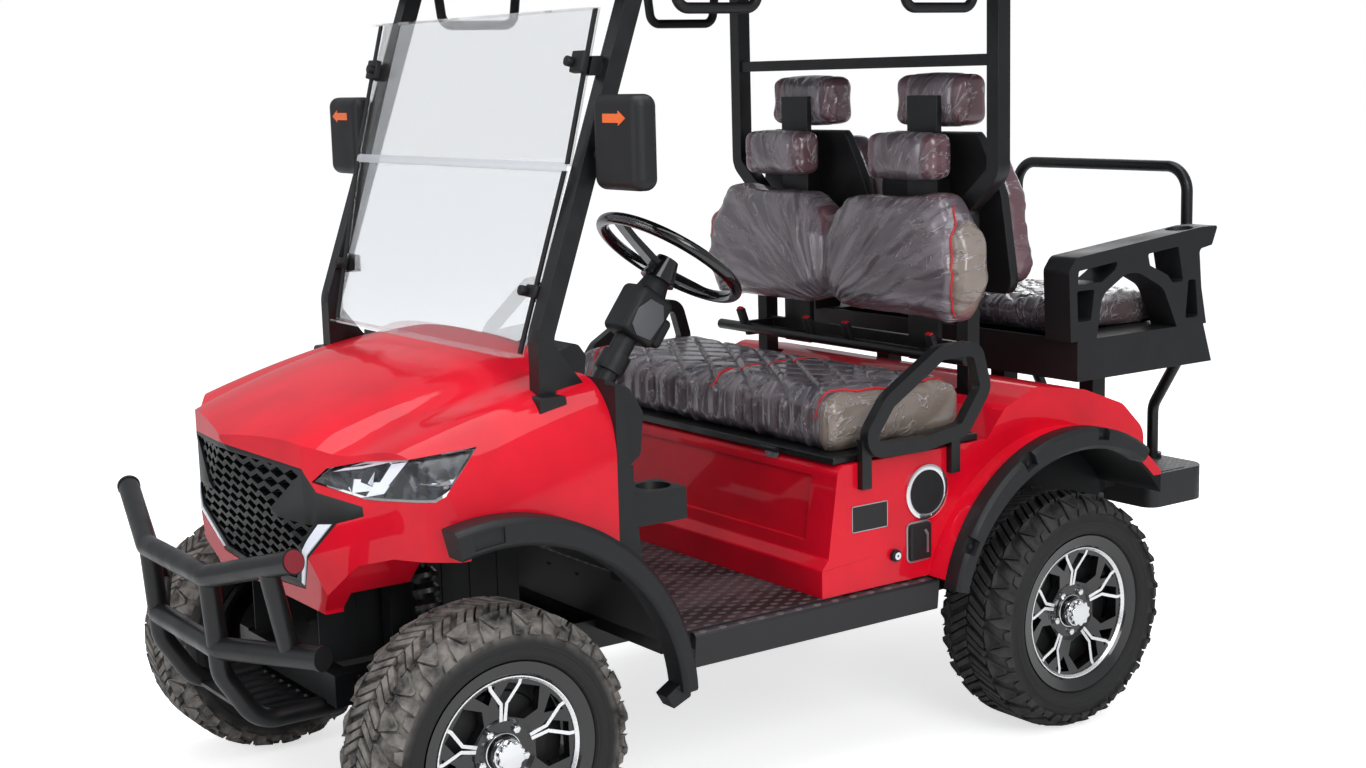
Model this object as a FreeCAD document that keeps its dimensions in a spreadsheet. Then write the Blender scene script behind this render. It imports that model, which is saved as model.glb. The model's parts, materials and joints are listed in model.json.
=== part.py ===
import FreeCAD, Part
import math
import os

# Four-seat lifted golf cart. Every piece is drawn with x forward from the rear axle,
# y to the left from the centre plane and z up from the ground, in millimetres.
# The placement of each piece then moves it to the middle of the vehicle's outline.

os.makedirs("parts", exist_ok=True)
doc = FreeCAD.newDocument("golf_cart")
sheet = doc.addObject("Spreadsheet::Sheet", "sizes")
V = FreeCAD.Vector
sheet_rows = []


def size(alias, value):
    """Write one driving dimension into the sheet and return it."""
    sheet_rows.append(alias)
    cell = "A" + str(len(sheet_rows))
    sheet.set(cell, str(value))
    sheet.setAlias(cell, alias)
    return float(value)


# Overall layout
rear_axle_x = size("rear_axle_x", -607)
wheelbase = size("wheelbase", 1600)
tyre_radius = size("tyre_radius", 293)
tyre_width = size("tyre_width", 235)
rear_track = size("rear_track", 1170)
front_track = size("front_track", 1110)
rim_radius = size("rim_radius", 195)
bead_radius = size("bead_radius", 180)
running_gap = size("running_gap", 0.3)
skin = size("skin", 5)
body_half = size("body_half", 590)
floor_top = size("floor_top", 445)
mat_thick = size("mat_thick", 20)

# Ladder frame
rail_half_gap = size("rail_half_gap", 205)
rail_wide = size("rail_wide", 50)
rail_low = size("rail_low", 330)
rail_high = size("rail_high", 400)
frame_rear_x = size("frame_rear_x", -560)
frame_front_x = size("frame_front_x", 1790)

# Front cowl
cowl_rear_x = size("cowl_rear_x", 1290)
nose_x = size("nose_x", 1909)
nose_lip_high = size("nose_lip_high", 889)
nose_foot_x = size("nose_foot_x", 1815)
nose_foot_high = size("nose_foot_high", 545)
arch_radius = size("arch_radius", 422)
arch_high = size("arch_high", 305)
arch_back = size("arch_back", 10)
tunnel_top = size("tunnel_top", 670)
arch_wall = size("arch_wall", 285)
lamp_depth = size("lamp_depth", 60)
fascia_thick = size("fascia_thick", 22)
flange_wide = size("flange_wide", 8)
grille_thick = size("grille_thick", 16)
bar_pitch = size("bar_pitch", 23)
bar_tall = size("bar_tall", 11)
fold_half = size("fold_half", 24)
fold_deep = size("fold_deep", 11)
strip_thick = size("strip_thick", 9)
lens_thick = size("lens_thick", 14)
seam = size("seam", 0.8)

# Rear body
base_front_top_x = size("base_front_top_x", 690)
base_front_foot_x = size("base_front_foot_x", 742)
base_top = size("base_top", 745)
fender_top = size("fender_top", 856)
body_tail_x = size("body_tail_x", -330)
fender_bulge = size("fender_bulge", 58)
rear_well_wall = size("rear_well_wall", 440)
door_x = size("door_x", 416)
rear_arch_radius = size("rear_arch_radius", 407)
bay_front_x = size("bay_front_x", 640)
bay_rear_x = size("bay_rear_x", 260)
bay_half = size("bay_half", 480)
speaker_radius = size("speaker_radius", 64)
speaker_proud = size("speaker_proud", 4)

# Flares
flare_thick = size("flare_thick", 42)
front_flare_wide = size("front_flare_wide", 72)
front_flare_tall = size("front_flare_tall", 62)
flare_chamfer = size("flare_chamfer", 9)
marker_deep = size("marker_deep", 6)
rear_flare_wide = size("rear_flare_wide", 50)

# Battery block
pack_rear_x = size("pack_rear_x", 300)
pack_front_x = size("pack_front_x", 630)
pack_half = size("pack_half", 400)
pack_top = size("pack_top", 690)

# Seats
bench_rear_x = size("bench_rear_x", 245)
bench_inset = size("bench_inset", 20)
bench_pan_thick = size("bench_pan_thick", 18)
bench_thick = size("bench_thick", 125)
bench_axis_x = size("bench_axis_x", 700)
hinge_radius = size("hinge_radius", 7)
bench_hinge_y = size("bench_hinge_y", 350)
backrest_inset = size("backrest_inset", 35)
backrest_low = size("backrest_low", 992)
backrest_high = size("backrest_high", 1342)
backrest_thick = size("backrest_thick", 105)
backrest_lean = size("backrest_lean", 10)
backrest_face_x = size("backrest_face_x", 246)
back_plate_x = size("back_plate_x", 108)
back_plate_thick = size("back_plate_thick", 16)
shell_foot_x = size("shell_foot_x", 22)
shell_low = size("shell_low", 1066)
shell_lean = size("shell_lean", 0.16)
lug_low = size("lug_low", 1290)
pad_low = size("pad_low", 1110)
headrest_y = size("headrest_y", 255)
headrest_wide = size("headrest_wide", 262)
headrest_tall = size("headrest_tall", 125)
headrest_deep = size("headrest_deep", 90)
seat_lift_x = size("seat_lift_x", -158)

hip_thick = size("hip_thick", 28)
hip_out = size("hip_out", 19)
hip_in = size("hip_in", 15)

# Posts, roof and glass
post_size = size("post_size", 40)
front_post_y = size("front_post_y", 499)
post_foot_x = size("post_foot_x", 1402)
post_foot_high = size("post_foot_high", 925)
post_kink_high = size("post_kink_high", 1105)
post_rake = size("post_rake", 0.356)
rear_post_x = size("rear_post_x", 110)
rear_post_y = size("rear_post_y", 510)
rear_post_neck_y = size("rear_post_neck_y", 405)
roof_low = size("roof_low", 1852)
roof_edge_thick = size("roof_edge_thick", 42)
roof_crown = size("roof_crown", 36)
roof_front_x = size("roof_front_x", 1265)
roof_rear_x = size("roof_rear_x", -560)
roof_half = size("roof_half", 600)
handle_front_x = size("handle_front_x", 1060)
handle_rear_x = size("handle_rear_x", 420)
handle_long = size("handle_long", 230)
handle_low = size("handle_low", 1765)
handle_radius = size("handle_radius", 12)
handle_y = size("handle_y", 515)
glass_thick = size("glass_thick", 5)
glass_foot_x = size("glass_foot_x", 1412)
glass_foot_high = size("glass_foot_high", 1057)
glass_mid_high = size("glass_mid_high", 1443)
glass_top_high = size("glass_top_high", 1768)
glass_rake = size("glass_rake", 0.2603)
glass_half_top = size("glass_half_top", 494)
glass_half_foot = size("glass_half_foot", 444)
flange_deep = size("flange_deep", 30)

# Rear seat box, step and bar
box_front_x = size("box_front_x", -132)
box_rear_x = size("box_rear_x", -645)
box_half = size("box_half", 545)
box_low = size("box_low", 838)
box_high = size("box_high", 943)
armrest_wide = size("armrest_wide", 88)
rim_wide = size("rim_wide", 40)
cushion_side_gap = size("cushion_side_gap", 7)
leg_front_x = size("leg_front_x", -190)
leg_rear_x = size("leg_rear_x", -530)
step_front_x = size("step_front_x", -600)
step_rear_x = size("step_rear_x", -840)
step_half = size("step_half", 385)
step_high = size("step_high", 505)
step_thick = size("step_thick", 95)
tread_rise = size("tread_rise", 2)
collar_radius = size("collar_radius", 26)
bar_radius = size("bar_radius", 16)
bar_x = size("bar_x", -800)
bar_half_top = size("bar_half_top", 325)
bar_half_foot = size("bar_half_foot", 215)
bar_high = size("bar_high", 1340)

# Bumper
bumper_tube = size("bumper_tube", 24)
hoop_y = size("hoop_y", 172)

# Dash
dash_face_x = size("dash_face_x", 1196)
dash_foot_x = size("dash_foot_x", 1205)
cup_x = size("cup_x", 1152)
cup_y = size("cup_y", 524)
cup_radius = size("cup_radius", 38)

# Steering and running gear
column_y = size("column_y", 262)
wheel_centre_x = size("wheel_centre_x", 912)
wheel_centre_high = size("wheel_centre_high", 1213)
wheel_ring_radius = size("wheel_ring_radius", 172)
wheel_ring_thick = size("wheel_ring_thick", 14)
column_tilt = size("column_tilt", 35.9)
kingpin_y = size("kingpin_y", 455)
upper_ball = size("upper_ball", 400)
lower_ball = size("lower_ball", 240)
steer_arm = size("steer_arm", 140)
rack_high = size("rack_high", 305)
rack_radius = size("rack_radius", 9)
spring_y = size("spring_y", 330)
spring_wide = size("spring_wide", 55)
spring_end_high = size("spring_end_high", 340)
spring_tail_high = size("spring_tail_high", 395)
arm_low_pivot = size("arm_low_pivot", 258)
arm_high_pivot = size("arm_high_pivot", 385)
hub_face = size("hub_face", 40)
stub_radius = size("stub_radius", 20)
drum_radius = size("drum_radius", 95)
coil_radius = size("coil_radius", 31)
coil_valley = size("coil_valley", 22)
lug_deep = size("lug_deep", 13)
lug_count = size("lug_count", 22)
spoke_count = size("spoke_count", 5)

doc.recompute()
front_axle_x = wheelbase
bench_half = body_half - bench_inset
backrest_half = body_half - backrest_inset
fender_half = body_half + fender_bulge
front_flare_out = body_half + front_flare_wide
rear_flare_out = fender_half + rear_flare_wide
arch_rear_x = front_axle_x - arch_back - arch_radius
base_foot = floor_top + running_gap


# Shape helpers

def corner_edges(points, radii, closed=True):
    """Edges through 3-D points, each corner rounded by its own radius."""
    count = len(points)
    edges = []
    starts = []
    ends = []
    for i, point in enumerate(points):
        radius = radii[i] if isinstance(radii, (list, tuple)) else radii
        at_end = not closed and i in (0, count - 1)
        if radius <= 0 or at_end:
            starts.append(point)
            ends.append(point)
            continue
        before = (points[i - 1] - point).normalize()
        after = (points[(i + 1) % count] - point).normalize()
        half = before.getAngle(after) / 2
        reach = radius / math.tan(half)
        first = point + before * reach
        last = point + after * reach
        middle_way = (before + after).normalize()
        middle = point + middle_way * (radius / math.sin(half) - radius)
        edges.append((i, Part.Arc(first, middle, last).toShape()))
        starts.append(first)
        ends.append(last)
    path = []
    arcs = dict(edges)
    for i in range(count if closed else count - 1):
        following = (i + 1) % count
        if i in arcs:
            path.append(arcs[i])
        if ends[i].distanceToPoint(starts[following]) > 1e-6:
            path.append(Part.LineSegment(ends[i], starts[following]).toShape())
    return path


def place_point(plane, along, up, depth):
    """Turn a plane's own pair and depth into x, y, z."""
    if plane == "XZ":
        return V(along, depth, up)
    if plane == "YZ":
        return V(depth, along, up)
    return V(along, up, depth)


def prism(plane, outline, low, high, radii=0):
    """Extrude an outline across its plane from low to high."""
    points = [place_point(plane, a, b, low) for a, b in outline]
    face = Part.Face(Part.Wire(corner_edges(points, radii)))
    return face.extrude(place_point(plane, 0, 0, high - low))


def box(x0, x1, y0, y1, z0, z1):
    return Part.makeBox(x1 - x0, y1 - y0, z1 - z0, V(x0, y0, z0))


def soft_box(x0, x1, y0, y1, z0, z1, radius):
    block = box(x0, x1, y0, y1, z0, z1)
    return block.makeFillet(radius, block.Edges)


def rod(start, end, radius):
    way = end - start
    return Part.makeCylinder(radius, way.Length, start, way)


def tube(points, radius, bend):
    """Round bar along straight runs joined by tangent arcs."""
    spine = Part.Wire(corner_edges(points, bend, closed=False))
    section = Part.Wire(Part.makeCircle(radius, points[0], points[1] - points[0]))
    return spine.makePipeShell([section], True, False)


def square_tube(points, side, bend, across):
    """Square bar along a path, one side of its section along the given axis."""
    spine = Part.Wire(corner_edges(points, bend, closed=False))
    way = (points[1] - points[0]).normalize()
    other = way.cross(across).normalize()
    half = side / 2
    corners = []
    for a, b in ((-1, -1), (1, -1), (1, 1), (-1, 1)):
        corners.append(points[0] + across * (a * half) + other * (b * half))
    section = Part.makePolygon(corners + [corners[0]])
    return spine.makePipeShell([section], True, False)


def mirror_y(shape):
    return shape.mirror(V(0, 0, 0), V(0, 1, 0))


def both_sides(shape):
    return [shape, mirror_y(shape)]


def fused(shapes):
    whole = shapes[0].multiFuse(shapes[1:]) if len(shapes) > 1 else shapes[0]
    return whole.removeSplitter()


def pair(shape):
    return Part.makeCompound(both_sides(shape))


def bind_place(made, forward, aside="0", up="0"):
    """Tie a sub-part's place to the sheet; forward counts from the rear axle."""
    made.setExpression("Placement.Base.x", "sizes.rear_axle_x + " + forward)
    made.setExpression("Placement.Base.y", aside)
    made.setExpression("Placement.Base.z", up)


def piece(label, shape, forward="0", aside="0"):
    """Make one named sub-part from a shape drawn about its own origin."""
    made = doc.addObject("Part::Feature", label)
    made.Shape = shape
    made.Label = label
    bind_place(made, forward, aside)
    return made


def ring_sector(radius_in, radius_out, y0, y1, centre, start, end):
    """Part of a flat ring about a line along y, between two angles from +x."""
    cx, cz = centre
    steps = []
    for radius in (radius_in, radius_out):
        arc = []
        for angle in (start, (start + end) / 2, end):
            a = math.radians(angle)
            arc.append(V(cx + radius * math.cos(a), y0, cz + radius * math.sin(a)))
        steps.append(arc)
    inner, outer = steps
    edges = [
        Part.Arc(*inner).toShape(),
        Part.LineSegment(inner[2], outer[2]).toShape(),
        Part.Arc(outer[2], outer[1], outer[0]).toShape(),
        Part.LineSegment(outer[0], inner[0]).toShape(),
    ]
    return Part.Face(Part.Wire(edges)).extrude(V(0, y1 - y0, 0))


# Ladder frame with its cross members, shock towers and body risers

def ladder_frame():
    inner = rail_half_gap
    outer = rail_half_gap + rail_wide
    rail = prism(
        "XZ",
        [
            (frame_rear_x, rail_low + 120),
            (-260, rail_low + 120),
            (-60, rail_low + 130),
            (260, rail_low),
            (frame_front_x, rail_low),
            (frame_front_x, rail_high),
            (290, rail_high),
            (-40, rail_high + 130),
            (frame_rear_x, rail_high + 120),
        ],
        inner,
        outer,
    )
    pieces = both_sides(rail)
    for x in (frame_rear_x, -180):
        pieces.append(box(x, x + 50, -outer, outer, rail_low + 125, rail_high + 115))
    for x in (300, 690, 1130, 1500, frame_front_x - 50):
        pieces.append(box(x, x + 50, -outer, outer, rail_low + 5, rail_high - 5))
    tower = box(
        front_axle_x - 45, front_axle_x + 45, inner - 10, outer - 15, rail_high - 10, 660
    )
    hanger = box(front_axle_x - 45, front_axle_x + 45, outer - 20, 318, 642, 660)
    pieces += both_sides(tower) + both_sides(hanger)
    rack_x = front_axle_x - steer_arm + 8
    housing = rod(V(rack_x, -150, rack_high), V(rack_x, 150, rack_high), rack_radius + 11)
    for y in (-140, 100):
        pieces.append(box(rack_x - 12, rack_x + 12, y, y + 40, rack_high + 8, rail_low + 30))
    pieces.append(housing)
    pieces.append(box(rack_x - 25, rack_x + 25, -outer + 10, outer - 10, rail_low + 10, rail_low + 40))
    reach = body_half - 70
    pieces.append(box(380, 420, -reach, reach, rail_high - 45, rail_high - 5))
    for x in (760, 1100):
        pieces.append(
            box(x, x + 40, -reach, reach, rail_high - 20, floor_top - mat_thick - running_gap)
        )
    front_shackle = box(392, 420, spring_y, spring_y + spring_wide, spring_end_high + 0.25 + running_gap,
                        rail_high - 40)
    rear_shackle = box(-400, -392, spring_y, spring_y + spring_wide, spring_tail_high + running_gap,
                       rail_high + 70)
    hanger_bar = box(-410, -385, outer - 10, spring_y + spring_wide, rail_high + 60, rail_high + 85)
    pieces += both_sides(front_shackle) + both_sides(rear_shackle) + both_sides(hanger_bar)
    arm_plate = box(front_axle_x - 150, front_axle_x + 150, outer - 12, outer, arm_low_pivot - 25,
                    rail_low + 5)
    pieces += both_sides(arm_plate)
    riser = box(
        rear_post_x - 30, rear_post_x + 30, outer - 30, rear_post_neck_y + 20,
        rail_high + 60, rail_high + 100,
    )
    pieces += both_sides(riser)
    frame = fused(pieces)
    bore = rod(
        V(rack_x, -outer - 5, rack_high), V(rack_x, outer + 5, rack_high),
        rack_radius + running_gap,
    )
    return frame.cut(bore)


piece("chassis_frame", ladder_frame())


# Outer form of the nose, drawn in by an inset for its inner face

def cowl_section(x, half, low, shoulder, crown):
    """Left half of the nose's outline at one station."""
    rise = crown - shoulder
    top = Part.BSplineCurve()
    top.buildFromPoles([
        V(x, half, shoulder),
        V(x, half, shoulder + 0.28 * rise),
        V(x, 0.93 * half, shoulder + 0.62 * rise),
        V(x, 0.82 * half, shoulder + 0.80 * rise),
        V(x, 0.66 * half, shoulder + 0.76 * rise),
        V(x, 0.58 * half, shoulder + 0.82 * rise),
        V(x, 0.42 * half, crown),
        V(x, 0, crown),
    ], False, 3)
    return Part.Wire([
        Part.LineSegment(V(x, 0, low), V(x, half, low)).toShape(),
        Part.LineSegment(V(x, half, low), V(x, half, shoulder)).toShape(),
        top.toShape(),
        Part.LineSegment(V(x, 0, crown), V(x, 0, low)).toShape(),
    ])


def cowl_form(inset):
    """Left half of the nose as a solid, drawn in by an inset."""
    low = 250.0
    half = body_half + 8 - inset
    rows = [
        (cowl_rear_x - 20, half, 850, 1062),
        (1420, half, 805, 1050),
        (1560, half, 765, 1022),
        (1710, half, 720, 980),
        (1830, half, 680, 936),
        (nose_x + 40, half, 640, 872),
    ]
    sections = [
        cowl_section(x, wide, low, shoulder - inset, crown - inset)
        for x, wide, shoulder, crown in rows
    ]
    loft = Part.makeLoft(sections, True, False)
    plan = [
        (cowl_rear_x - inset, 0),
        (cowl_rear_x - inset, half + 20),
        (nose_x - 269, half + 20),
        (nose_x - 193 - inset, 545 - inset),
        (nose_x - 114 - inset, 395 - inset),
        (nose_x - 59 - inset, 290 - inset),
        (nose_x - inset, 0),
    ]
    loft = loft.common(prism("XY", plan, 200, 1200, [0, 0, 60, 60, 60, 60, 0]))
    side = [
        (cowl_rear_x - inset, 200),
        (nose_foot_x - 60 - inset, 200),
        (nose_foot_x - inset, nose_foot_high),
        (nose_x - inset, nose_lip_high),
        (nose_x - inset - 30, 1200),
        (cowl_rear_x - inset, 1200),
    ]
    return loft.common(prism("XZ", side, -10, 700))


def arch_cut(form, grow):
    """Take the left front wheel's space, open to the front and below, out of a form."""
    inside = arch_wall - grow
    reach = arch_radius + grow
    side = [
        (front_axle_x - arch_back - reach, 0),
        (front_axle_x - arch_back - reach, arch_high + reach),
        (nose_x + 100, arch_high + reach),
        (nose_x + 100, 0),
    ]
    tool = prism("XZ", side, inside, 900, [0, reach * 0.998, 0, 0])
    front = [
        (inside - 50, -10), (inside - 50, 545 + grow), (inside, 553 + grow), (400, 668 + grow),
        (480, 690 + grow), (900, 694 + grow), (900, -10),
    ]
    tool = tool.common(
        prism("YZ", front, front_axle_x + 40, nose_x + 200).fuse(
            box(front_axle_x - 600, front_axle_x + 40, inside - 50, 950, -10, 1000)
        )
    )
    return form.cut(tool)


lamp_outline = [
    (1084, 832), (1046, 864), (960, 884), (880, 893), (735, 908),
    (748, 880), (778, 824), (800, 811), (915, 806), (958, 806),
]


def lamp_prism(shrink):
    """Outline of the left lamp, carried inward at 45 degrees."""
    middle_u = sum(u for u, w in lamp_outline) / len(lamp_outline)
    middle_w = sum(w for u, w in lamp_outline) / len(lamp_outline)
    points = []
    for u, w in lamp_outline:
        scale_u = 1 - shrink / 170
        scale_w = 1 - shrink / 45
        uu = middle_u + (u - middle_u) * scale_u
        ww = middle_w + (w - middle_w) * scale_w
        points.append(V(uu / math.sqrt(2), -uu / math.sqrt(2), ww))
    points = [p + V(nose_x - 1559, 350, 0) for p in points]
    face = Part.Face(Part.makePolygon(points + [points[0]]))
    return face.extrude(V(900, 900, 0))


fascia_outline = [
    (0, 880), (286, 858), (318, 812), (418, 792), (420, 772), (360, 752), (218, 588), (0, 570),
]
grille_outline = [
    (0, 866), (282, 850), (166, 760), (160, 746), (304, 742), (186, 606), (0, 588),
]
light_strip = [(318, 746), (347, 749), (219, 597), (208, 601)]


def front_prism(outline, rear_x, grow=0.0, mirrored=True):
    """Carry a front-view outline back to rear_x, with its mirror image, let out by grow."""
    points = [V(rear_x, y, z) for y, z in outline]
    if mirrored:
        points += [V(rear_x, -y, z) for y, z in reversed(outline) if y > 0]
    face = Part.Face(Part.makePolygon(points + [points[0]]))
    if grow:
        face = face.makeOffset2D(grow, 2)
    return face.extrude(V(nose_x + 60 - rear_x, 0, 0))


outer_form = cowl_form(0)
tunnel = box(cowl_rear_x - 30, nose_foot_x - 40, -10, arch_wall + 40, 0, tunnel_top)
chin = box(cowl_rear_x - 30, nose_x, -10, arch_wall + 40, 0, nose_foot_high)
shell = arch_cut(outer_form, 0).cut(arch_cut(cowl_form(skin), skin)).cut(tunnel).cut(chin)
lamp_hole = lamp_prism(0)
fascia_rear_x = nose_foot_x - 120
fascia_hole = front_prism(fascia_outline, fascia_rear_x)
half_cowl = shell.cut(lamp_hole).cut(fascia_hole)
piece("front_cowl", fused(both_sides(half_cowl)))

lamp_block = outer_form.common(lamp_prism(seam)).cut(cowl_form(lamp_depth))
tail_lamp = soft_box(
    body_tail_x - lens_thick, body_tail_x - running_gap, rear_well_wall + 10, rear_well_wall + 90,
    600, 690, 5
)
strip_hole = front_prism(light_strip, fascia_rear_x, 0.0, False)
strip_light = cowl_form(-1).cut(cowl_form(strip_thick))
strip_light = strip_light.common(front_prism(light_strip, fascia_rear_x, -running_gap, False))
lights = [lamp_block, strip_light, tail_lamp]
piece("lamps", Part.makeCompound([side for light in lights for side in both_sides(light)]))


fascia_face = cowl_form(1).cut(cowl_form(fascia_thick))
fascia_face = fascia_face.common(front_prism(fascia_outline, fascia_rear_x, -seam))
flange = cowl_form(skin + running_gap).cut(cowl_form(skin + 6))
flange = flange.common(front_prism(fascia_outline, fascia_rear_x, flange_wide))
fascia_half = fascia_face.fuse(flange)
fascia_half = fascia_half.cut(front_prism(grille_outline, fascia_rear_x - 80))
fascia_half = fascia_half.cut(lamp_hole)
strip_seat = cowl_form(-20).cut(cowl_form(strip_thick + running_gap)).common(strip_hole)
fascia_half = fascia_half.cut(strip_seat)
piece("front_fascia", fused(both_sides(fascia_half)))

grille_recess = fascia_thick + running_gap
grille_half = cowl_form(grille_recess).cut(cowl_form(grille_recess + grille_thick))
grille_half = grille_half.common(front_prism(grille_outline, fascia_rear_x, flange_wide))
grille_half = grille_half.cut(lamp_hole)


def scale_bar(row):
    """One folded bar of the grille, seen from the front; neighbours are half a fold apart."""
    high = nose_foot_high + 52 + row * bar_pitch
    upper = []
    for k in range(-1, 14):
        upper.append((k * fold_half, high + (fold_deep if (k + row) % 2 else 0)))
    lower = [(y, z - bar_tall) for y, z in reversed(upper)]
    return prism("YZ", upper + lower, fascia_rear_x, nose_x + 60)


bar_layer = cowl_form(fascia_thick / 4).cut(cowl_form(grille_recess + 1))
bar_layer = bar_layer.common(front_prism(grille_outline, fascia_rear_x, -seam))
bar_layer = bar_layer.cut(lamp_hole)
bars = [bar_layer.common(scale_bar(row)) for row in range(12)]
piece("grille", fused(both_sides(fused([grille_half] + bars))))


# Black arch flares, front and rear

def flare_band(inside, heights, y0, y1, centre, start, end):
    """Arch band whose height changes from its start to its end, chamfered on its outer rim."""
    cx, cz = centre
    angles = [math.radians(a) for a in (start, (start + end) / 2, end)]
    inner = [V(cx + inside * math.cos(a), y0, cz + inside * math.sin(a)) for a in angles]
    outer = [
        V(cx + (inside + tall) * math.cos(a), y0, cz + (inside + tall) * math.sin(a))
        for tall, a in zip(heights, angles)
    ]
    edges = [
        Part.Arc(*inner).toShape(),
        Part.LineSegment(inner[2], outer[2]).toShape(),
        Part.Arc(outer[2], outer[1], outer[0]).toShape(),
        Part.LineSegment(outer[0], inner[0]).toShape(),
    ]
    band = Part.Face(Part.Wire(edges)).extrude(V(0, y1 - y0, 0))
    rim = []
    for edge in band.Edges:
        at_rim = all(abs(vertex.Point.y - y1) < 0.01 for vertex in edge.Vertexes)
        if at_rim and edge.Length > 300:
            rim.append(edge)
    return band.makeChamfer(flare_chamfer, rim)


def front_flare():
    centre = (front_axle_x - arch_back, arch_high)
    inside = arch_radius - 8
    inner_y = body_half + 8 + running_gap
    ring = flare_band(
        inside, [front_flare_tall, flare_thick + 10, flare_thick - 2], inner_y, front_flare_out,
        centre, 76, 176,
    )
    marker = ring_sector(
        inside + 14, inside + front_flare_tall - 16, front_flare_out - marker_deep,
        front_flare_out + 1, centre, 80, 89,
    )
    foot = prism(
        "XZ",
        [
            (arch_rear_x - 18, arch_high + 13), (arch_rear_x + 26, arch_high - 5),
            (arch_rear_x + 44, arch_high + 25), (arch_rear_x + 10, arch_high + 45),
            (arch_rear_x + 10, arch_high + 115), (arch_rear_x - 32, arch_high + 115),
        ],
        inner_y,
        front_flare_out - 20,
    )
    return fused([ring.cut(marker), foot])


piece("front_flares", pair(front_flare()))


def rear_flare():
    centre = (0, arch_high)
    inside = rear_arch_radius - 8
    ring = flare_band(
        inside, [flare_thick, flare_thick + 14, flare_thick], fender_half + running_gap,
        rear_flare_out, centre, 16, 122,
    )
    pocket_low = inside + flare_thick - 20
    for angle in (28, 62, 96):
        ring = ring.cut(
            ring_sector(
                pocket_low, pocket_low + 60, rear_flare_out - 3 * marker_deep, rear_flare_out + 1,
                centre, angle, angle + 5,
            )
        )
    return ring


piece("rear_flares", pair(rear_flare()))


# Rear body: seat base, battery bay and rear fenders in one moulding

def rear_form(inset):
    base = prism(
        "XZ",
        [
            (base_front_foot_x - inset, base_foot),
            (base_front_foot_x - inset, base_foot + 66),
            (base_front_foot_x - 20 - inset, base_foot + 88),
            (base_front_top_x - inset, base_top - inset),
            (bench_rear_x - 18, base_top - inset),
            (165, fender_top - 40 - inset),
            (60, fender_top - inset),
            (-110, fender_top - 28 - inset),
            (-250, fender_top - 80 - inset),
            (body_tail_x + inset, 700),
            (body_tail_x + inset, base_foot),
        ],
        -body_half + inset,
        body_half - inset,
        [0, 10, 10, 25, 12, 40, 60, 60, 60, 60, 0],
    )
    recess = prism(
        "XZ",
        [
            (base_front_foot_x - 32 - inset, base_foot + 118 - inset),
            (base_front_top_x - 1 - inset, base_top - 32 + inset),
            (base_front_top_x + 80, base_top - 32 + inset),
            (base_front_top_x + 80, base_foot + 118 - inset),
        ],
        -body_half + 90 - inset,
        body_half - 90 + inset,
    )
    base = base.cut(recess)
    fender = Part.makeCylinder(
        rear_arch_radius + 36 - inset, 2 * (fender_half - inset), V(0, -fender_half + inset, arch_high),
        V(0, 1, 0),
    )
    fender = fender.common(box(body_tail_x + inset, 900, -900, 900, base_foot, 2000))
    return base.fuse(fender)


def rear_well(grow):
    inside = rear_well_wall - grow
    round_part = Part.makeCylinder(
        rear_arch_radius + grow, 600, V(0, inside, arch_high), V(0, 1, 0)
    )
    return round_part


def rear_body():
    solid = rear_form(0)
    inside = rear_form(skin)
    for well, grown_well in zip(both_sides(rear_well(0)), both_sides(rear_well(skin))):
        solid = solid.cut(well)
        inside = inside.cut(grown_well)
    moulding = solid.cut(inside)
    bay = box(bay_rear_x, bay_front_x, -bay_half, bay_half, base_top - 60, base_top + 200)
    moulding = moulding.cut(bay)
    leg_gap = box(
        leg_front_x - 30, leg_front_x + 30, rail_half_gap - 5, rail_half_gap + rail_wide + 5,
        base_top - 60, fender_top + 60,
    )
    for side in both_sides(leg_gap):
        moulding = moulding.cut(side)
    post_gap = box(
        rear_post_x - 32, rear_post_x + 32, rear_post_neck_y - 32, rear_post_neck_y + 32,
        base_top - 60, fender_top + 60,
    )
    for side in both_sides(post_gap):
        moulding = moulding.cut(side)
    rail_gap = box(
        body_tail_x - 20, body_tail_x + 60, -rail_half_gap - rail_wide - 20,
        rail_half_gap + rail_wide + 20, 0, rail_high + 140,
    )
    fittings = []
    for side in (1, -1):
        outward = V(0, side, 0)
        ring_at = V(door_x + 8, side * (body_half - 1), 648)
        bezel = Part.makeCylinder(speaker_radius, speaker_proud + 1, ring_at, outward)
        bezel = bezel.cut(
            Part.makeCylinder(speaker_radius - 10, 20, ring_at + outward * 2, outward)
        )
        fittings.append(bezel)
    fittings.append(Part.makeCylinder(11, 9, V(525, body_half - 1, 512), V(0, 1, 0)))
    return fused([moulding.cut(rail_gap)] + fittings)


piece("rear_body", rear_body())


# Floor with its toe board and side sills

def floor_panel():
    mat = prism(
        "XZ",
        [
            (base_front_foot_x - 40, floor_top - mat_thick),
            (1170, floor_top - mat_thick),
            (1240, 574),
            (1228, 580),
            (1160, floor_top),
            (base_front_foot_x - 40, floor_top),
        ],
        -body_half,
        body_half,
    )
    sill = prism(
        "YZ",
        [(body_half - 60, 352), (body_half + 12, 362), (body_half + 20, floor_top - 4),
         (body_half - 60, floor_top - 4)],
        400,
        1110,
        [6, 6, 10, 6],
    )
    pedals = []
    for y, wide in ((315, 62), (195, 88)):
        pad = prism(
            "XZ",
            [(1118, 492), (1148, 562), (1160, 557), (1130, 487)],
            y - wide / 2,
            y + wide / 2,
        )
        pedals += [pad, rod(V(1142, y, 528), V(1222, y, 540), 9)]
    return fused([mat] + both_sides(sill) + pedals)


piece("floor", floor_panel())


# Dash with its tray, cup holder and edge trim

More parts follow.
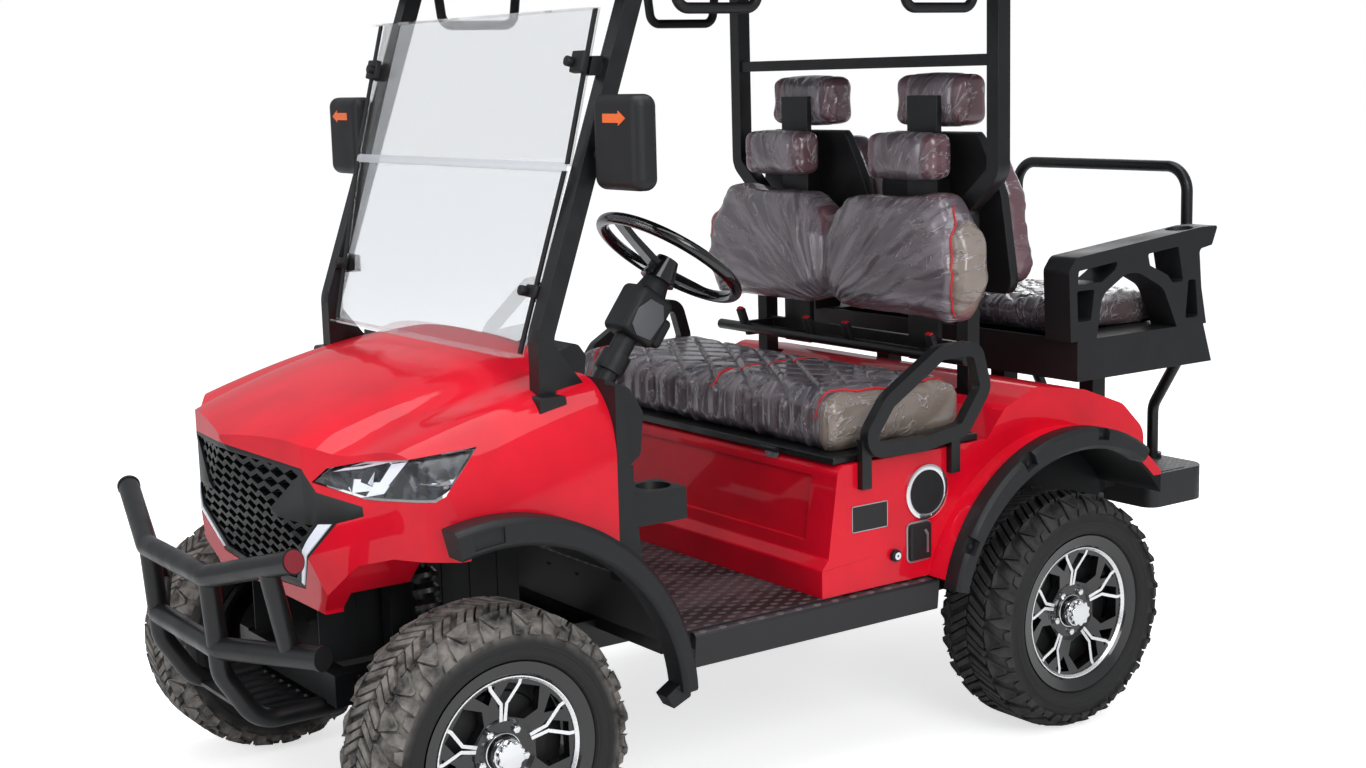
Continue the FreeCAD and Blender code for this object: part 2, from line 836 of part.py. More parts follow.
def dash():
    dash_front_x = cowl_rear_x - running_gap
    cross = prism(
        "XZ",
        [
            (1262, 800), (dash_foot_x, 840), (dash_face_x, 930), (1230, 985), (dash_front_x, 1010),
            (dash_front_x, 800),
        ],
        -body_half + 30,
        body_half - 30,
        [10, 20, 20, 20, 0, 0],
    )
    trim = prism(
        "XZ",
        [
            (1230, 585), (1268, 950), (dash_front_x, 1000), (dash_front_x, 585),
        ],
        body_half - 32,
        body_half + 8,
    )
    holder = box(cup_x - 48, 1240, 470, 580, 690, 760)
    holder = holder.cut(Part.makeCylinder(cup_radius, 80, V(cup_x, cup_y, 702), V(0, 0, 1)))
    bracket = box(1225, dash_front_x, 470, 560, 690, 820)
    half = fused([trim, holder, bracket])
    pod = prism(
        "XZ",
        [(1212, 975), (1205, 1030), (1228, 1062), (dash_front_x - 2, 1040), (dash_front_x - 2, 990)],
        column_y - 95,
        column_y + 95,
        [0, 14, 20, 14, 0],
    )
    return fused([cross, pod] + both_sides(half))


piece("dash", dash())


# Battery pack as one block in the bay, resting on the frame's rails
pack = doc.addObject("Part::Box", "battery_pack")
pack.Label = "battery_pack"
pack.setExpression("Length", "sizes.pack_front_x - sizes.pack_rear_x")
pack.setExpression("Width", "2 * sizes.pack_half")
pack.setExpression("Height", "sizes.pack_top - sizes.rail_high - sizes.running_gap")
bind_place(pack, "sizes.pack_rear_x", "-sizes.pack_half", "sizes.rail_high + sizes.running_gap")


# Front bench on its board, hinged at the front edge

board_low = base_top + running_gap
cushion_low = board_low + bench_pan_thick + running_gap
board = soft_box(
    bench_rear_x, base_front_top_x + 4, -bench_half - 8, bench_half + 8, board_low,
    board_low + bench_pan_thick, 4,
)
axis_high = board_low + bench_pan_thick / 2
leaves = []
for y in (-bench_hinge_y, bench_hinge_y):
    axis_point = V(bench_axis_x, y, axis_high)
    leaves.append(rod(axis_point - V(0, 30, 0), axis_point + V(0, 30, 0), hinge_radius))
    leaves.append(box(base_front_top_x - 6, bench_axis_x, y - 30, y + 30, axis_high - 2, axis_high + 2))
board = fused([board] + leaves)
piece("bench_pan", board)
cushion = soft_box(
    bench_rear_x, base_front_top_x + 2, -bench_half, bench_half, cushion_low,
    cushion_low + bench_thick, 34,
)
piece("front_cushion", cushion)


# Front backrest, two lobes wide, leaning back

def lobed_block(block, outline, radii, radius):
    """Cut a leaning block to a front-view outline and round all its edges."""
    face = block.BoundBox
    shape = block.common(prism("YZ", outline, face.XMin - 10, face.XMax + 10, radii))
    return shape.makeFillet(radius, shape.Edges)


def leaning_slab(face_x, thick, y0, y1, low, high, lean):
    return prism(
        "XZ",
        [(face_x, low), (face_x - lean, high), (face_x - lean - thick, high),
         (face_x - thick, low)],
        y0,
        y1,
    )


front_lobes = [
    (0, backrest_high - 56), (100, backrest_high), (backrest_half - 110, backrest_high),
    (backrest_half - 12, backrest_high - 120), (backrest_half, backrest_low + 110),
    (backrest_half - 60, backrest_low), (90, backrest_low), (0, backrest_low + 20),
]
mirrored = [(-y, z) for y, z in reversed(front_lobes) if y > 0]
front_back = lobed_block(
    leaning_slab(backrest_face_x, backrest_thick, -backrest_half, backrest_half, backrest_low,
                 backrest_high, backrest_lean),
    front_lobes + mirrored,
    [24, 90, 90, 90, 70, 60, 60, 40, 60, 60, 70, 90, 90, 90],
    24,
)
piece("front_backrest", front_back)


def headrest(x, y, z, deep, wide, tall):
    return soft_box(
        x - deep / 2, x + deep / 2, y - wide / 2, y + wide / 2, z - tall / 2, z + tall / 2, 30
    )


front_rest_x = back_plate_x + back_plate_thick + running_gap + headrest_deep / 2
front_rest_high = 1412.0
rear_rest_x = back_plate_x - running_gap - headrest_deep / 2 - 4
rear_rest_high = 1548.0
rests = both_sides(
    headrest(front_rest_x, headrest_y, front_rest_high, headrest_deep, headrest_wide,
             headrest_tall)
)
rests += both_sides(
    headrest(rear_rest_x, headrest_y, rear_rest_high, headrest_deep + 8, headrest_wide + 8,
             headrest_tall + 12)
)
piece("headrests", Part.makeCompound(rests))


# Seat frame: belt bar and uprights that carry the backrests and headrests

def shell_front_x(high):
    """Front face of the rear backrests' shells at a height."""
    return shell_foot_x + (high - shell_low) * shell_lean


def backrest_rear_x(high):
    """Rear face of the front backrest at a height."""
    share = (high - backrest_low) / (backrest_high - backrest_low)
    return backrest_face_x - backrest_thick - backrest_lean * share


def seat_frame():
    front = back_plate_x + back_plate_thick
    reach = rear_post_neck_y - post_size / 2 - running_gap
    parts = [box(back_plate_x, front, -reach, reach, 900, 950)]
    for y in (-headrest_y, headrest_y):
        parts.append(box(back_plate_x, front, y - 55, y + 55, 890, 1560))
        lug = [
            (shell_front_x(high) + running_gap, high) for high in (lug_low, lug_low + 60)
        ]
        parts.append(
            prism("XZ", [lug[0], (front, lug_low), (front, lug_low + 60), lug[1]], y - 40, y + 40)
        )
        pads = [(backrest_rear_x(high) - running_gap, high) for high in (pad_low, pad_low + 60)]
        parts.append(
            prism("XZ", [(back_plate_x, pad_low), pads[0], pads[1], (back_plate_x, pad_low + 60)],
                  y - 40, y + 40)
        )
    parts.append(rod(V(205, -500, 925), V(205, 500, 925), 14))
    for y in (-370, 370):
        parts.append(box(back_plate_x, 212, y - 8, y + 8, 905, 945))
    return fused(parts)


piece("seat_frame", seat_frame())


# Hip restraint loops beside the bench

def hip_restraint():
    y = body_half + 18
    path = [
        V(640, y, 775), V(560, y, 880), V(400, y, 975), V(290, y, 975), V(262, y, 880),
        V(330, y, 790), V(450, y, 772),
    ]
    middle = Part.Wire(corner_edges([point - V(0, hip_thick / 2, 0) for point in path], 30))
    outer = Part.Face(middle.makeOffset2D(hip_out))
    inner = Part.Face(middle.makeOffset2D(-hip_in))
    loop = outer.cut(inner).extrude(V(0, hip_thick, 0))
    feet = []
    for x, high in ((620, 800), (345, 790)):
        feet.append(box(x - 14, x + 14, body_half + running_gap, y, base_top - 60, high))
    return fused([loop] + feet)


piece("hip_restraints", pair(hip_restraint()))


# Front posts with their feet and the clips that hold the glass

def glass_x(high):
    return glass_foot_x - glass_rake * (high - glass_foot_high)


def front_post():
    over = 60.0
    path = [
        V(post_foot_x, front_post_y, post_foot_high - 60),
        V(post_foot_x, front_post_y, post_kink_high),
        V(post_foot_x - post_rake * (roof_low + over - post_kink_high), front_post_y,
          roof_low + over),
    ]
    post = square_tube(path, post_size, 60, V(0, 1, 0))
    boot = prism(
        "XZ",
        [(post_foot_x - 36, 880), (post_foot_x + 44, 880), (post_foot_x + 34, 985),
         (post_foot_x - 26, 985)],
        front_post_y - 30,
        front_post_y + 46,
        8,
    )
    clips = []
    for high, y0, y1 in ((1650, -30, -2), (1190, -60, -14)):
        face = [(glass_x(high + dz) - running_gap, high + dz) for dz in (-20, 20)]
        rear_x = glass_x(high) - 30
        clips.append(
            prism(
                "XZ",
                [(rear_x, high - 20), face[0], face[1], (rear_x, high + 20)],
                front_post_y + y0,
                front_post_y + y1,
            )
        )
    gusset = prism(
        "XZ",
        [(post_foot_x - 12, 1100), (post_foot_x - 12, 960), (cowl_rear_x + 22, 1000)],
        front_post_y + 6,
        front_post_y + 12,
    )
    solid = fused([post, boot, gusset] + clips)
    solid = solid.cut(box(500, 1500, 0, 700, roof_low - running_gap, roof_low + 300))
    return solid.cut(cowl_form(-running_gap))


piece("front_posts", pair(front_post()))


# Rear roof frame: posts necked in behind the front seats, with a cross bar

def rear_roof_frame():
    neck_top = 1375.0
    path = [
        V(rear_post_x, rear_post_neck_y, rail_high + 100 + running_gap),
        V(rear_post_x, rear_post_neck_y, neck_top - 90),
        V(rear_post_x, rear_post_y, neck_top),
        V(rear_post_x, rear_post_y, roof_low - running_gap),
    ]
    post = square_tube(path, post_size, 40, V(1, 0, 0))
    bar = box(
        rear_post_x - 14, rear_post_x + 14, -rear_post_y, rear_post_y, 1630, 1658
    )
    return fused(both_sides(post) + [bar])


piece("rear_roof_frame", rear_roof_frame())


# Roof canopy with a shallow crown

def roof():
    base = prism(
        "XY",
        [(roof_rear_x, -roof_half), (roof_front_x, -roof_half), (roof_front_x, roof_half),
         (roof_rear_x, roof_half)],
        roof_low,
        roof_low + roof_edge_thick,
        90,
    )
    crown_profile = [
        (roof_rear_x + 60, roof_low + roof_edge_thick - 1),
        (roof_front_x - 60, roof_low + roof_edge_thick - 1),
        (roof_front_x - 160, roof_low + roof_edge_thick + roof_crown),
        (roof_rear_x + 160, roof_low + roof_edge_thick + roof_crown),
    ]
    crown = prism("XZ", crown_profile, -roof_half + 60, roof_half - 60, [0, 0, 200, 200])
    handles = []
    for start_x in (handle_front_x, handle_rear_x):
        path = [
            V(start_x, handle_y, roof_low + 5), V(start_x - 12, handle_y, handle_low),
            V(start_x - handle_long + 12, handle_y, handle_low),
            V(start_x - handle_long, handle_y, roof_low + 5),
        ]
        handles += both_sides(tube(path, handle_radius, 30))
    return fused([base, crown] + handles)


piece("roof", roof())


# Two-pane windshield: a trapezoid below and a straight pane above

def windshield():
    mid = glass_mid_high
    lower_profile = [
        (glass_x(glass_foot_high), glass_foot_high),
        (glass_x(mid - 4), mid - 4),
        (glass_x(mid - 4) + glass_thick, mid - 4),
        (glass_x(glass_foot_high) + glass_thick, glass_foot_high),
    ]
    lower = prism("XZ", lower_profile, -glass_half_top, glass_half_top)
    taper = prism(
        "YZ",
        [(-glass_half_foot, glass_foot_high - 5), (glass_half_foot, glass_foot_high - 5),
         (glass_half_top - 8, mid), (-glass_half_top + 8, mid)],
        1200,
        1500,
    )
    lower = lower.common(taper)
    upper_profile = [
        (glass_x(mid + 4), mid + 4),
        (glass_x(glass_top_high), glass_top_high),
        (glass_x(glass_top_high) + glass_thick, glass_top_high),
        (glass_x(mid + 4) + glass_thick, mid + 4),
    ]
    upper = prism("XZ", upper_profile, -glass_half_top, glass_half_top)
    foot_x = glass_x(glass_foot_high)
    flange = box(foot_x + 1, foot_x + flange_deep, -glass_half_foot + 6, glass_half_foot - 6,
                 glass_foot_high, glass_foot_high + glass_thick)
    top_x = glass_x(glass_top_high)
    lip = box(top_x + 1, top_x + flange_deep, -glass_half_top, glass_half_top,
              glass_top_high - glass_thick, glass_top_high)
    return Part.makeCompound([fused([lower, flange]), fused([upper, lip])])


piece("windshield", windshield())


# Mirrors on short arms from the front posts

def mirror():
    x = 1262.0
    head = soft_box(x - 30, x + 30, 540, 705, 1400, 1592, 24)
    arm = rod(V(x, front_post_y + post_size / 2 + running_gap, 1470), V(x, 560, 1470), 11)
    return fused([head, arm])


piece("mirrors", pair(mirror()))


# Steering column and wheel about one tilted axis

axis_way = V(-math.sin(math.radians(column_tilt)), 0, math.cos(math.radians(column_tilt)))
wheel_centre = V(wheel_centre_x, column_y, wheel_centre_high)


def steering_column():
    """Drawn with the axis upright and the wheel's centre at the origin, then tilted."""
    neck = Part.makeCone(38, 30, 34, V(0, 0, -60 - running_gap - 34), V(0, 0, 1))
    housing = soft_box(-50, 50, -46, 46, -212, -92, 16)
    tray = soft_box(-72, -30, -38, 38, -200, -128, 12)
    lower = Part.makeCylinder(26, 260, V(0, 0, -460), V(0, 0, 1))
    joint = Part.makeCylinder(34, 46, V(0, 0, -300), V(0, 0, 1))
    boot = Part.makeCone(58, 34, 70, V(0, 0, -470), V(0, 0, 1))
    stalk = rod(V(-30, -40, -140), V(-84, -122, -116), 10)
    shape = fused([neck, housing, tray, lower, joint, boot, stalk])
    shape.Placement = FreeCAD.Placement(wheel_centre, FreeCAD.Rotation(V(0, 0, 1), axis_way))
    dash_side = prism(
        "XZ",
        [(dash_foot_x - running_gap, 700), (dash_foot_x - running_gap, 840),
         (dash_face_x - running_gap, 930), (1230, 985), (1400, 985), (1400, 700)],
        0,
        500,
    )
    return shape.cut(dash_side)


piece("steering_column", steering_column())


def steering_wheel():
    ring = Part.makeTorus(wheel_ring_radius, wheel_ring_thick, V(0, 0, 0), V(0, 0, 1))
    hub = Part.makeCone(42, 26, 56, V(0, 0, -60), V(0, 0, 1))
    shapes = [ring, hub]
    for angle in (0, 180, 270):
        spoke = prism(
            "XZ",
            [(20, -40), (wheel_ring_radius - 60, -22), (wheel_ring_radius, -7),
             (wheel_ring_radius, 5), (wheel_ring_radius - 60, -8), (20, -22)],
            -17,
            17,
        )
        spoke.rotate(V(0, 0, 0), V(0, 0, 1), angle)
        shapes.append(spoke)
    return fused(shapes)


wheel_part = piece("steering_wheel", steering_wheel())
wheel_part.Placement = FreeCAD.Placement(V(0, 0, 0), FreeCAD.Rotation(V(0, 0, 1), axis_way))
bind_place(wheel_part, "sizes.wheel_centre_x", "sizes.column_y", "sizes.wheel_centre_high")


# Rear seat box with its arched armrests

def rear_seat_box():
    tray = prism(
        "XZ",
        [
            (box_front_x, box_low), (box_front_x, box_high), (box_rear_x + 36, box_high),
            (box_rear_x, box_low),
        ],
        -box_half,
        box_half,
    )
    well = prism(
        "XZ",
        [
            (box_front_x - 14, box_low + 10), (box_front_x - 14, box_high + 5),
            (box_rear_x + 50, box_high + 5), (box_rear_x + 18, box_low + 10),
        ],
        -box_half + armrest_wide + rim_wide,
        box_half - armrest_wide - rim_wide,
    )
    tray = tray.cut(well)
    arm = prism(
        "XZ",
        [
            (-108, box_high - 2), (-100, 1120), (-125, 1152), (-600, 1198), (-662, 1198),
            (-640, 1148), (-590, 1140), (-600, 1040), (-622, box_high - 2),
        ],
        box_half - armrest_wide,
        box_half,
        [0, 20, 25, 0, 6, 6, 12, 20, 0],
    )
    arch = prism(
        "XZ",
        [(-200, box_high - 10), (-220, 1050), (-330, 1110), (-450, 1050), (-510, box_high - 10)],
        box_half - armrest_wide - 5,
        box_half + 5,
        [0, 50, 90, 60, 0],
    )
    windows = [
        [(-133, 990), (-129, 1068), (-192, 1068), (-180, 990)],
        [(-131, 1084), (-135, 1118), (-280, 1132), (-266, 1110), (-218, 1084)],
        [(-398, 1112), (-390, 1142), (-506, 1153), (-528, 1060), (-486, 1060), (-466, 1082)],
        [(-538, 962), (-548, 1062), (-576, 1062), (-588, 962)],
    ]
    arm = arm.cut(arch)
    for outline in windows:
        arm = arm.cut(prism("XZ", outline, box_half - armrest_wide - 5, box_half + 5, 6))
    arm = arm.cut(Part.makeCylinder(36, 60, V(-560, box_half - 44, 1148), V(0, 0, 1)))
    legs = []
    for x in (leg_front_x, leg_rear_x):
        rail_top = rail_high + 120 + (x + 25 - frame_rear_x) / (-40 - frame_rear_x) * 10
        legs.append(box(x - 25, x + 25, rail_half_gap, rail_half_gap + rail_wide,
                        rail_top + running_gap, box_low + 2))
    half = [arm] + legs
    shapes = [tray]
    for item in half:
        shapes += both_sides(item)
    return fused(shapes)


piece("rear_seat_box", rear_seat_box())

rear_cushion = soft_box(
    box_rear_x + 66, seat_lift_x - 4, -box_half + armrest_wide + cushion_side_gap,
    box_half - armrest_wide - cushion_side_gap, box_high + running_gap, box_high + 76, 26
)
piece("rear_cushion", rear_cushion)


# Rear backrests: cushions that face the rear and their moulded shells

def rear_back(y0, y1):
    slab = leaning_slab(-6, 78, y0, y1, 1066, 1472, -66)
    outline = [(y0, 1066), (y1, 1066), (y1, 1330), (y1 - 60, 1472), (y0 + 60, 1472), (y0, 1330)]
    return lobed_block(slab, outline, [70, 70, 120, 60, 60, 120], 24)


def rear_shell(y0, y1):
    slab = prism(
        "XZ",
        [(-5 + running_gap, shell_low + 4), (shell_foot_x, shell_low),
         (shell_front_x(1466), 1466), (61 + running_gap, 1470)],
        y0,
        y1,
    )
    outline = [
        (y0, shell_low - 4), (y1, shell_low - 4), (y1, 1320), (y1 - 62, 1480), (y0 + 62, 1480),
        (y0, 1320),
    ]
    return slab.common(prism("YZ", outline, -100, 200, [50, 50, 110, 50, 50, 110]))


piece("rear_backrests", pair(rear_back(16, 486)))
shell_pair = pair(rear_shell(30, 472))
piece("backrest_shells", shell_pair)


# Rear step on two arms, with the grab bar at its tail

def rear_step():
    slab = prism(
        "XY",
        [(step_rear_x, -step_half), (step_front_x, -step_half), (step_front_x, step_half),
         (step_rear_x, step_half)],
        step_high - step_thick,
        step_high,
        [60, 40, 40, 60],
    )
    tread = prism(
        "XY",
        [(bar_x + collar_radius + 8, -step_half + 14), (step_front_x - 12, -step_half + 14),
         (step_front_x - 12, step_half - 14), (bar_x + collar_radius + 8, step_half - 14)],
        step_high - 1,
        step_high + tread_rise,
        20,
    )
    arms = both_sides(
        box(step_front_x - 40, frame_rear_x - running_gap, rail_half_gap, rail_half_gap + rail_wide,
            step_high - step_thick + 45, step_high - 5)
    )
    return fused([slab, tread] + arms)


piece("rear_step", rear_step())


def grab_bar():
    foot = step_high + running_gap
    path = [
        V(bar_x, -bar_half_foot, foot), V(bar_x, -bar_half_foot, foot + 150),
        V(bar_x, -bar_half_top, foot + 330), V(bar_x, -bar_half_top, bar_high),
        V(bar_x, bar_half_top, bar_high), V(bar_x, bar_half_top, foot + 330),
        V(bar_x, bar_half_foot, foot + 150), V(bar_x, bar_half_foot, foot),
    ]
    bar = tube(path, bar_radius, 70)
    collar = Part.makeCylinder(collar_radius, 14, V(bar_x, bar_half_foot, foot), V(0, 0, 1))
    return fused([bar] + both_sides(collar))


piece("grab_bar", grab_bar())


# Front bumper: two bent tubes, two hoops, links and the slotted guard

def front_bumper():
    hoop_low = rail_low + 5 - bumper_tube + 2 - running_gap
    top = [
        V(1957, -458, 716), V(2022, -hoop_y, 640), V(2022, hoop_y, 640), V(1957, 458, 716),
    ]
    middle = [
        V(1900, -440, 506), V(2008, -hoop_y, 486), V(2008, hoop_y, 486), V(1900, 440, 506),
    ]
    hoop = [
        V(2018, hoop_y, 636), V(2004, hoop_y, 430), V(1930, hoop_y, hoop_low),
        V(frame_front_x - 45, hoop_y, hoop_low),
    ]
    link = rod(V(1975, 380, 690), V(1930, 360, 503), bumper_tube - 3)
    shapes = [tube(top, bumper_tube, 70), tube(middle, bumper_tube, 70)]
    shapes += both_sides(tube(hoop, bumper_tube - 2, 80))
    shapes += both_sides(link)
    for ends in (top, middle):
        way = (ends[0] - ends[1]).normalize()
        shapes += both_sides(rod(ends[0] - way * 2, ends[0] + way * 6, bumper_tube + 2))
    guard = box(frame_front_x - 45, 1930, -hoop_y, hoop_y, hoop_low - 6, hoop_low + 2)
    for k in range(-3, 4):
        slot = prism(
            "XY",
            [(frame_front_x - 10, k * 44 - 12), (1905, k * 44 - 4), (1905, k * 44 + 16),
             (frame_front_x - 10, k * 44 + 8)],
            hoop_low - 20,
            hoop_low + 20,
            6,
        )
        guard = guard.cut(slot)
    shapes.append(guard)
    return fused(shapes)


piece("front_bumper", front_bumper())


# Front suspension: double arms, coil-over units and the rack housing

def front_suspension():
    arm_radius = 13
    pivot_y = rail_half_gap + rail_wide + arm_radius + running_gap
    shapes = []
    for pivot_high, ball_high in ((arm_low_pivot, lower_ball), (arm_high_pivot, upper_ball)):
        for dx in (-120, 120):
            pivot = V(front_axle_x + dx, pivot_y, pivot_high)
            shapes.append(rod(pivot - V(22, 0, 0), pivot + V(22, 0, 0), arm_radius))
            shapes.append(rod(pivot, V(front_axle_x, kingpin_y, ball_high), arm_radius))
    damper = rod(V(front_axle_x, 296, 638.4), V(front_axle_x, 400, lower_ball), 13)
    coil_top = V(front_axle_x, 304, 612)
    coil_foot = V(front_axle_x, 366, 390)
    way = coil_foot - coil_top
    turns = 7
    step = way.Length / turns
    profile = [V(0, 0, 0)]
    for k in range(turns):
        profile += [V(coil_valley, 0, k * step), V(coil_radius, 0, (k + 0.35) * step),
                    V(coil_radius, 0, (k + 0.65) * step)]
    profile += [V(coil_valley, 0, way.Length), V(0, 0, way.Length)]
    coil = Part.Face(Part.makePolygon(profile + [profile[0]])).revolve(V(0, 0, 0), V(0, 0, 1), 360)
    coil.Placement = FreeCAD.Placement(coil_top, FreeCAD.Rotation(V(0, 0, 1), way))
    return fused(shapes + [damper, coil])


piece("front_suspension", pair(front_suspension()))


# Rear axle with its motor and leaf springs

def rear_axle():
    beam = rod(V(0, -430, tyre_radius), V(0, 430, tyre_radius), 38)
    case = Part.makeSphere(105, V(0, 60, tyre_radius))
    motor = rod(V(-20, 80, tyre_radius), V(258, 80, tyre_radius - 5), 85)
    spring = prism(
        "XZ",
        [
            (-400, spring_tail_high - 20), (0, 328), (400, spring_end_high - 20),
            (400, spring_end_high), (0, 352), (-400, spring_tail_high),
        ],
        spring_y,
        spring_y + spring_wide,
    )
    stub = rod(V(0, 425, tyre_radius), V(0, rear_track / 2 + hub_face + 25, tyre_radius), stub_radius)
    drum = rod(V(0, rear_track / 2 - 50, tyre_radius), V(0, rear_track / 2 + 12, tyre_radius), drum_radius)
    return fused([beam, case, motor] + both_sides(spring) + both_sides(stub) + both_sides(drum))


piece("rear_axle", rear_axle())


# Steering knuckle with its stub axle and arm, drawn about the kingpin

def knuckle():
    """Left knuckle; x and y count from the kingpin at the axle."""
    reach = front_track / 2 - kingpin_y
    centre = V(0, 0, tyre_radius)
    post = rod(V(0, 0, lower_ball + 14.6), V(0, 0, upper_ball - 14.6), 18)
    stub = rod(centre, centre + V(0, reach + hub_face + 25, 0), stub_radius)
    drum = rod(centre + V(0, reach - 50, 0), centre + V(0, reach + 12, 0), drum_radius)
    arm_low = rack_high + rack_radius + 3.5
    arm = box(-steer_arm, 10, -26, -6, arm_low, arm_low + 14)
    return fused([post, stub, drum, arm])


left_knuckle = knuckle()
piece("knuckle_left", left_knuckle, "sizes.wheelbase", "sizes.kingpin_y")
piece("knuckle_right", mirror_y(left_knuckle), "sizes.wheelbase", "-sizes.kingpin_y")


# Rack bar with its rod ends, sliding under the steering arms

def rack_bar():
    end_y = kingpin_y - 16
    bar = rod(V(0, -end_y, rack_high), V(0, end_y, rack_high), rack_radius)
    pin = rod(V(0, end_y - 8, rack_high), V(0, end_y - 8, rack_high + rack_radius + 3), 7)
    return fused([bar] + both_sides(pin))


piece("steering_rack", rack_bar(), "sizes.wheelbase - sizes.steer_arm + 8")


# Rims: a revolved barrel and dished face, five split spokes left between cut windows

def body_sketch(body, role, name, outlines, raised=0.0):
    """Sketch of closed outlines on one of a body's own planes."""
    sketch = body.newObject("Sketcher::SketchObject", name)
    base = [f for f in body.Origin.OriginFeatures if f.Role == role][0]
    sketch.AttachmentSupport = [(base, "")]
    sketch.MapMode = "FlatFace"
    sketch.AttachmentOffset = FreeCAD.Placement(V(0, 0, raised), FreeCAD.Rotation())
    for outline in outlines:
        points = [V(a, b, 0) for a, b in outline]
        for i, point in enumerate(points):
            sketch.addGeometry(Part.LineSegment(point, points[(i + 1) % len(points)]), False)
    sketch.Visibility = False
    return sketch


def face_outward(made, forward, aside, turned):
    """Set a wheel's piece on its axle, turned round on the right side."""
    made.Placement = FreeCAD.Placement(V(0, 0, 0), FreeCAD.Rotation(V(0, 0, 1), 180 if turned else 0))
    bind_place(made, forward, aside, "sizes.tyre_radius")


def turned_body(label, outline):
    """A body with one outline revolved about the wheel's axle, its own y axis."""
    body = doc.addObject("PartDesign::Body", label)
    body.Label = label
    sketch = body_sketch(body, "XY_Plane", label + "_outline", [outline])
    turn = body.newObject("PartDesign::Revolution", label + "_turn")
    turn.Profile = sketch
    turn.ReferenceAxis = (sketch, ["V_Axis"])
    turn.Angle = 360
    return body


def patterned(body, label, feature, count_name):
    """Repeat one feature evenly round the wheel's axle."""
    pattern = body.newObject("PartDesign::PolarPattern", label)
    pattern.Originals = [feature]
    axle = [f for f in body.Origin.OriginFeatures if f.Role == "Y_Axis"][0]
    pattern.Axis = (axle, [""])
    pattern.Angle = 360
    pattern.setExpression("Occurrences", "sizes." + count_name)
    body.Tip = pattern
    return pattern


def polar(radius, degrees):
    angle = math.radians(degrees)
    return radius * math.cos(angle), radius * math.sin(angle)


half_wide = tyre_width / 2
face_y = half_wide - 15
bore = stub_radius + running_gap
rim_outline = [
    (bore, hub_face - 10), (62, hub_face - 10), (72, hub_face + 4), (150, face_y - 42),
    (166, face_y - 42),
    (166, -face_y + 8), (bead_radius, -face_y + 4), (bead_radius, face_y - 6),
    (rim_radius, face_y - 4), (rim_radius, face_y), (170, face_y - 6), (158, face_y - 18),
    (74, hub_face + 30), (64, hub_face + 24), (40, hub_face + 24), (36, hub_face + 38),
    (bore, hub_face + 38),
]
spoke_gap = 360 / spoke_count
between = spoke_gap / 2
window = [
    polar(78, between - 20), polar(110, between - 27), polar(150, between - 14.5),
    polar(150, between + 14.5), polar(110, between + 27), polar(78, between + 20),
]
fork = [polar(113, 0), polar(149, 9.5), polar(151, 0), polar(149, -9.5)]


def rim_body(label):
    body = turned_body(label, rim_outline)
    outlines = body_sketch(body, "XZ_Plane", label + "_windows", [window, fork])
    cut = body.newObject("PartDesign::Pocket", label + "_window")
    cut.Profile = outlines
    cut.setExpression("Length", "sizes.tyre_width + 65")
    cut.Midplane = True
    patterned(body, label + "_spokes", cut, "spoke_count")
    return body


# Tyres: one flat pitch of the carcass repeated round the axle, with two rows of angled lugs
# set half a pitch apart. Flat pitches keep the four tyres light to mesh.

tread_base = tyre_radius - lug_deep
tyre_outline = [
    (-half_wide + 26, bead_radius + running_gap), (-half_wide + 26, rim_radius + 4),
    (-half_wide, 240), (-half_wide + 26, tread_base), (half_wide - 26, tread_base),
    (half_wide, 240), (half_wide - 26, rim_radius + 4), (half_wide - 26, bead_radius + running_gap),
]
lug_outline = [(-6, 3), (14, 3), (34, 111), (4, 111)]
lug_corner = 34
lug_foot = tread_base - 24
lug_top = math.sqrt(tyre_radius ** 2 - lug_corner ** 2)


def round_axle(shape, degrees):
    turned = shape.copy()
    turned.rotate(V(0, 0, 0), V(0, 1, 0), degrees)
    return turned


def tyre_shape():
    """Drawn with the axle on the y axis and its outer side towards +y."""
    pitch = 360 / lug_count
    half_pitch = math.tan(math.radians(pitch / 2)) * tyre_radius
    wedge = prism("XZ", [(0, 0), (half_pitch, tyre_radius), (-half_pitch, tyre_radius)], -half_wide,
                  half_wide)
    sector = prism("YZ", tyre_outline, -half_pitch, half_pitch).common(wedge)
    blocks = []
    for k in range(int(lug_count)):
        blocks.append(round_axle(sector, k * pitch))
        for side in (1, -1):
            lug = prism("XY", [(a, side * b) for a, b in lug_outline], lug_foot, lug_top)
            blocks.append(round_axle(lug, (k + (0.5 if side < 0 else 0)) * pitch))
    return fused(blocks)


tyre_solid = tyre_shape()
wheel_places = [
    ("front_left", "sizes.wheelbase", "sizes.front_track / 2", False),
    ("front_right", "sizes.wheelbase", "-sizes.front_track / 2", True),
    ("rear_left", "0", "sizes.rear_track / 2", False),
    ("rear_right", "0", "-sizes.rear_track / 2", True),
]
for name, forward, aside, turned in wheel_places:
    face_outward(piece("tyre_" + name, tyre_solid), forward, aside, turned)
    face_outward(rim_body("rim_" + name), forward, aside, turned)


# Charge port door on the left side, hinged at its rear edge

def charge_door():
    return soft_box(
        door_x, door_x + 66, body_half + running_gap, body_half + 12, 490, 576, 5
    )


piece("charge_door", charge_door())

doc.recompute()

sub_parts = []
for item in doc.Objects:
    if {"Invalid", "Error"} & set(item.State):
        raise RuntimeError(item.Label + " failed: " + str(item.State))
    in_body = item.getParentGeoFeatureGroup() is not None
    if item.isDerivedFrom("Part::Feature") and not in_body:
        sub_parts.append(item)

for item in sub_parts:
    if item.Shape.isNull() or not item.Shape.isValid():
        raise RuntimeError(item.Label + " has a faulty shape")

whole = FreeCAD.BoundBox()
for item in sub_parts:
    item.Shape.exportStep("parts/" + item.Label + ".step")
    whole.add(item.Shape.BoundBox)
    print(item.Label, len(item.Shape.Solids), round(item.Shape.Volume / 1e6, 3))
print("box", whole)
print("sub-parts", len(sub_parts))
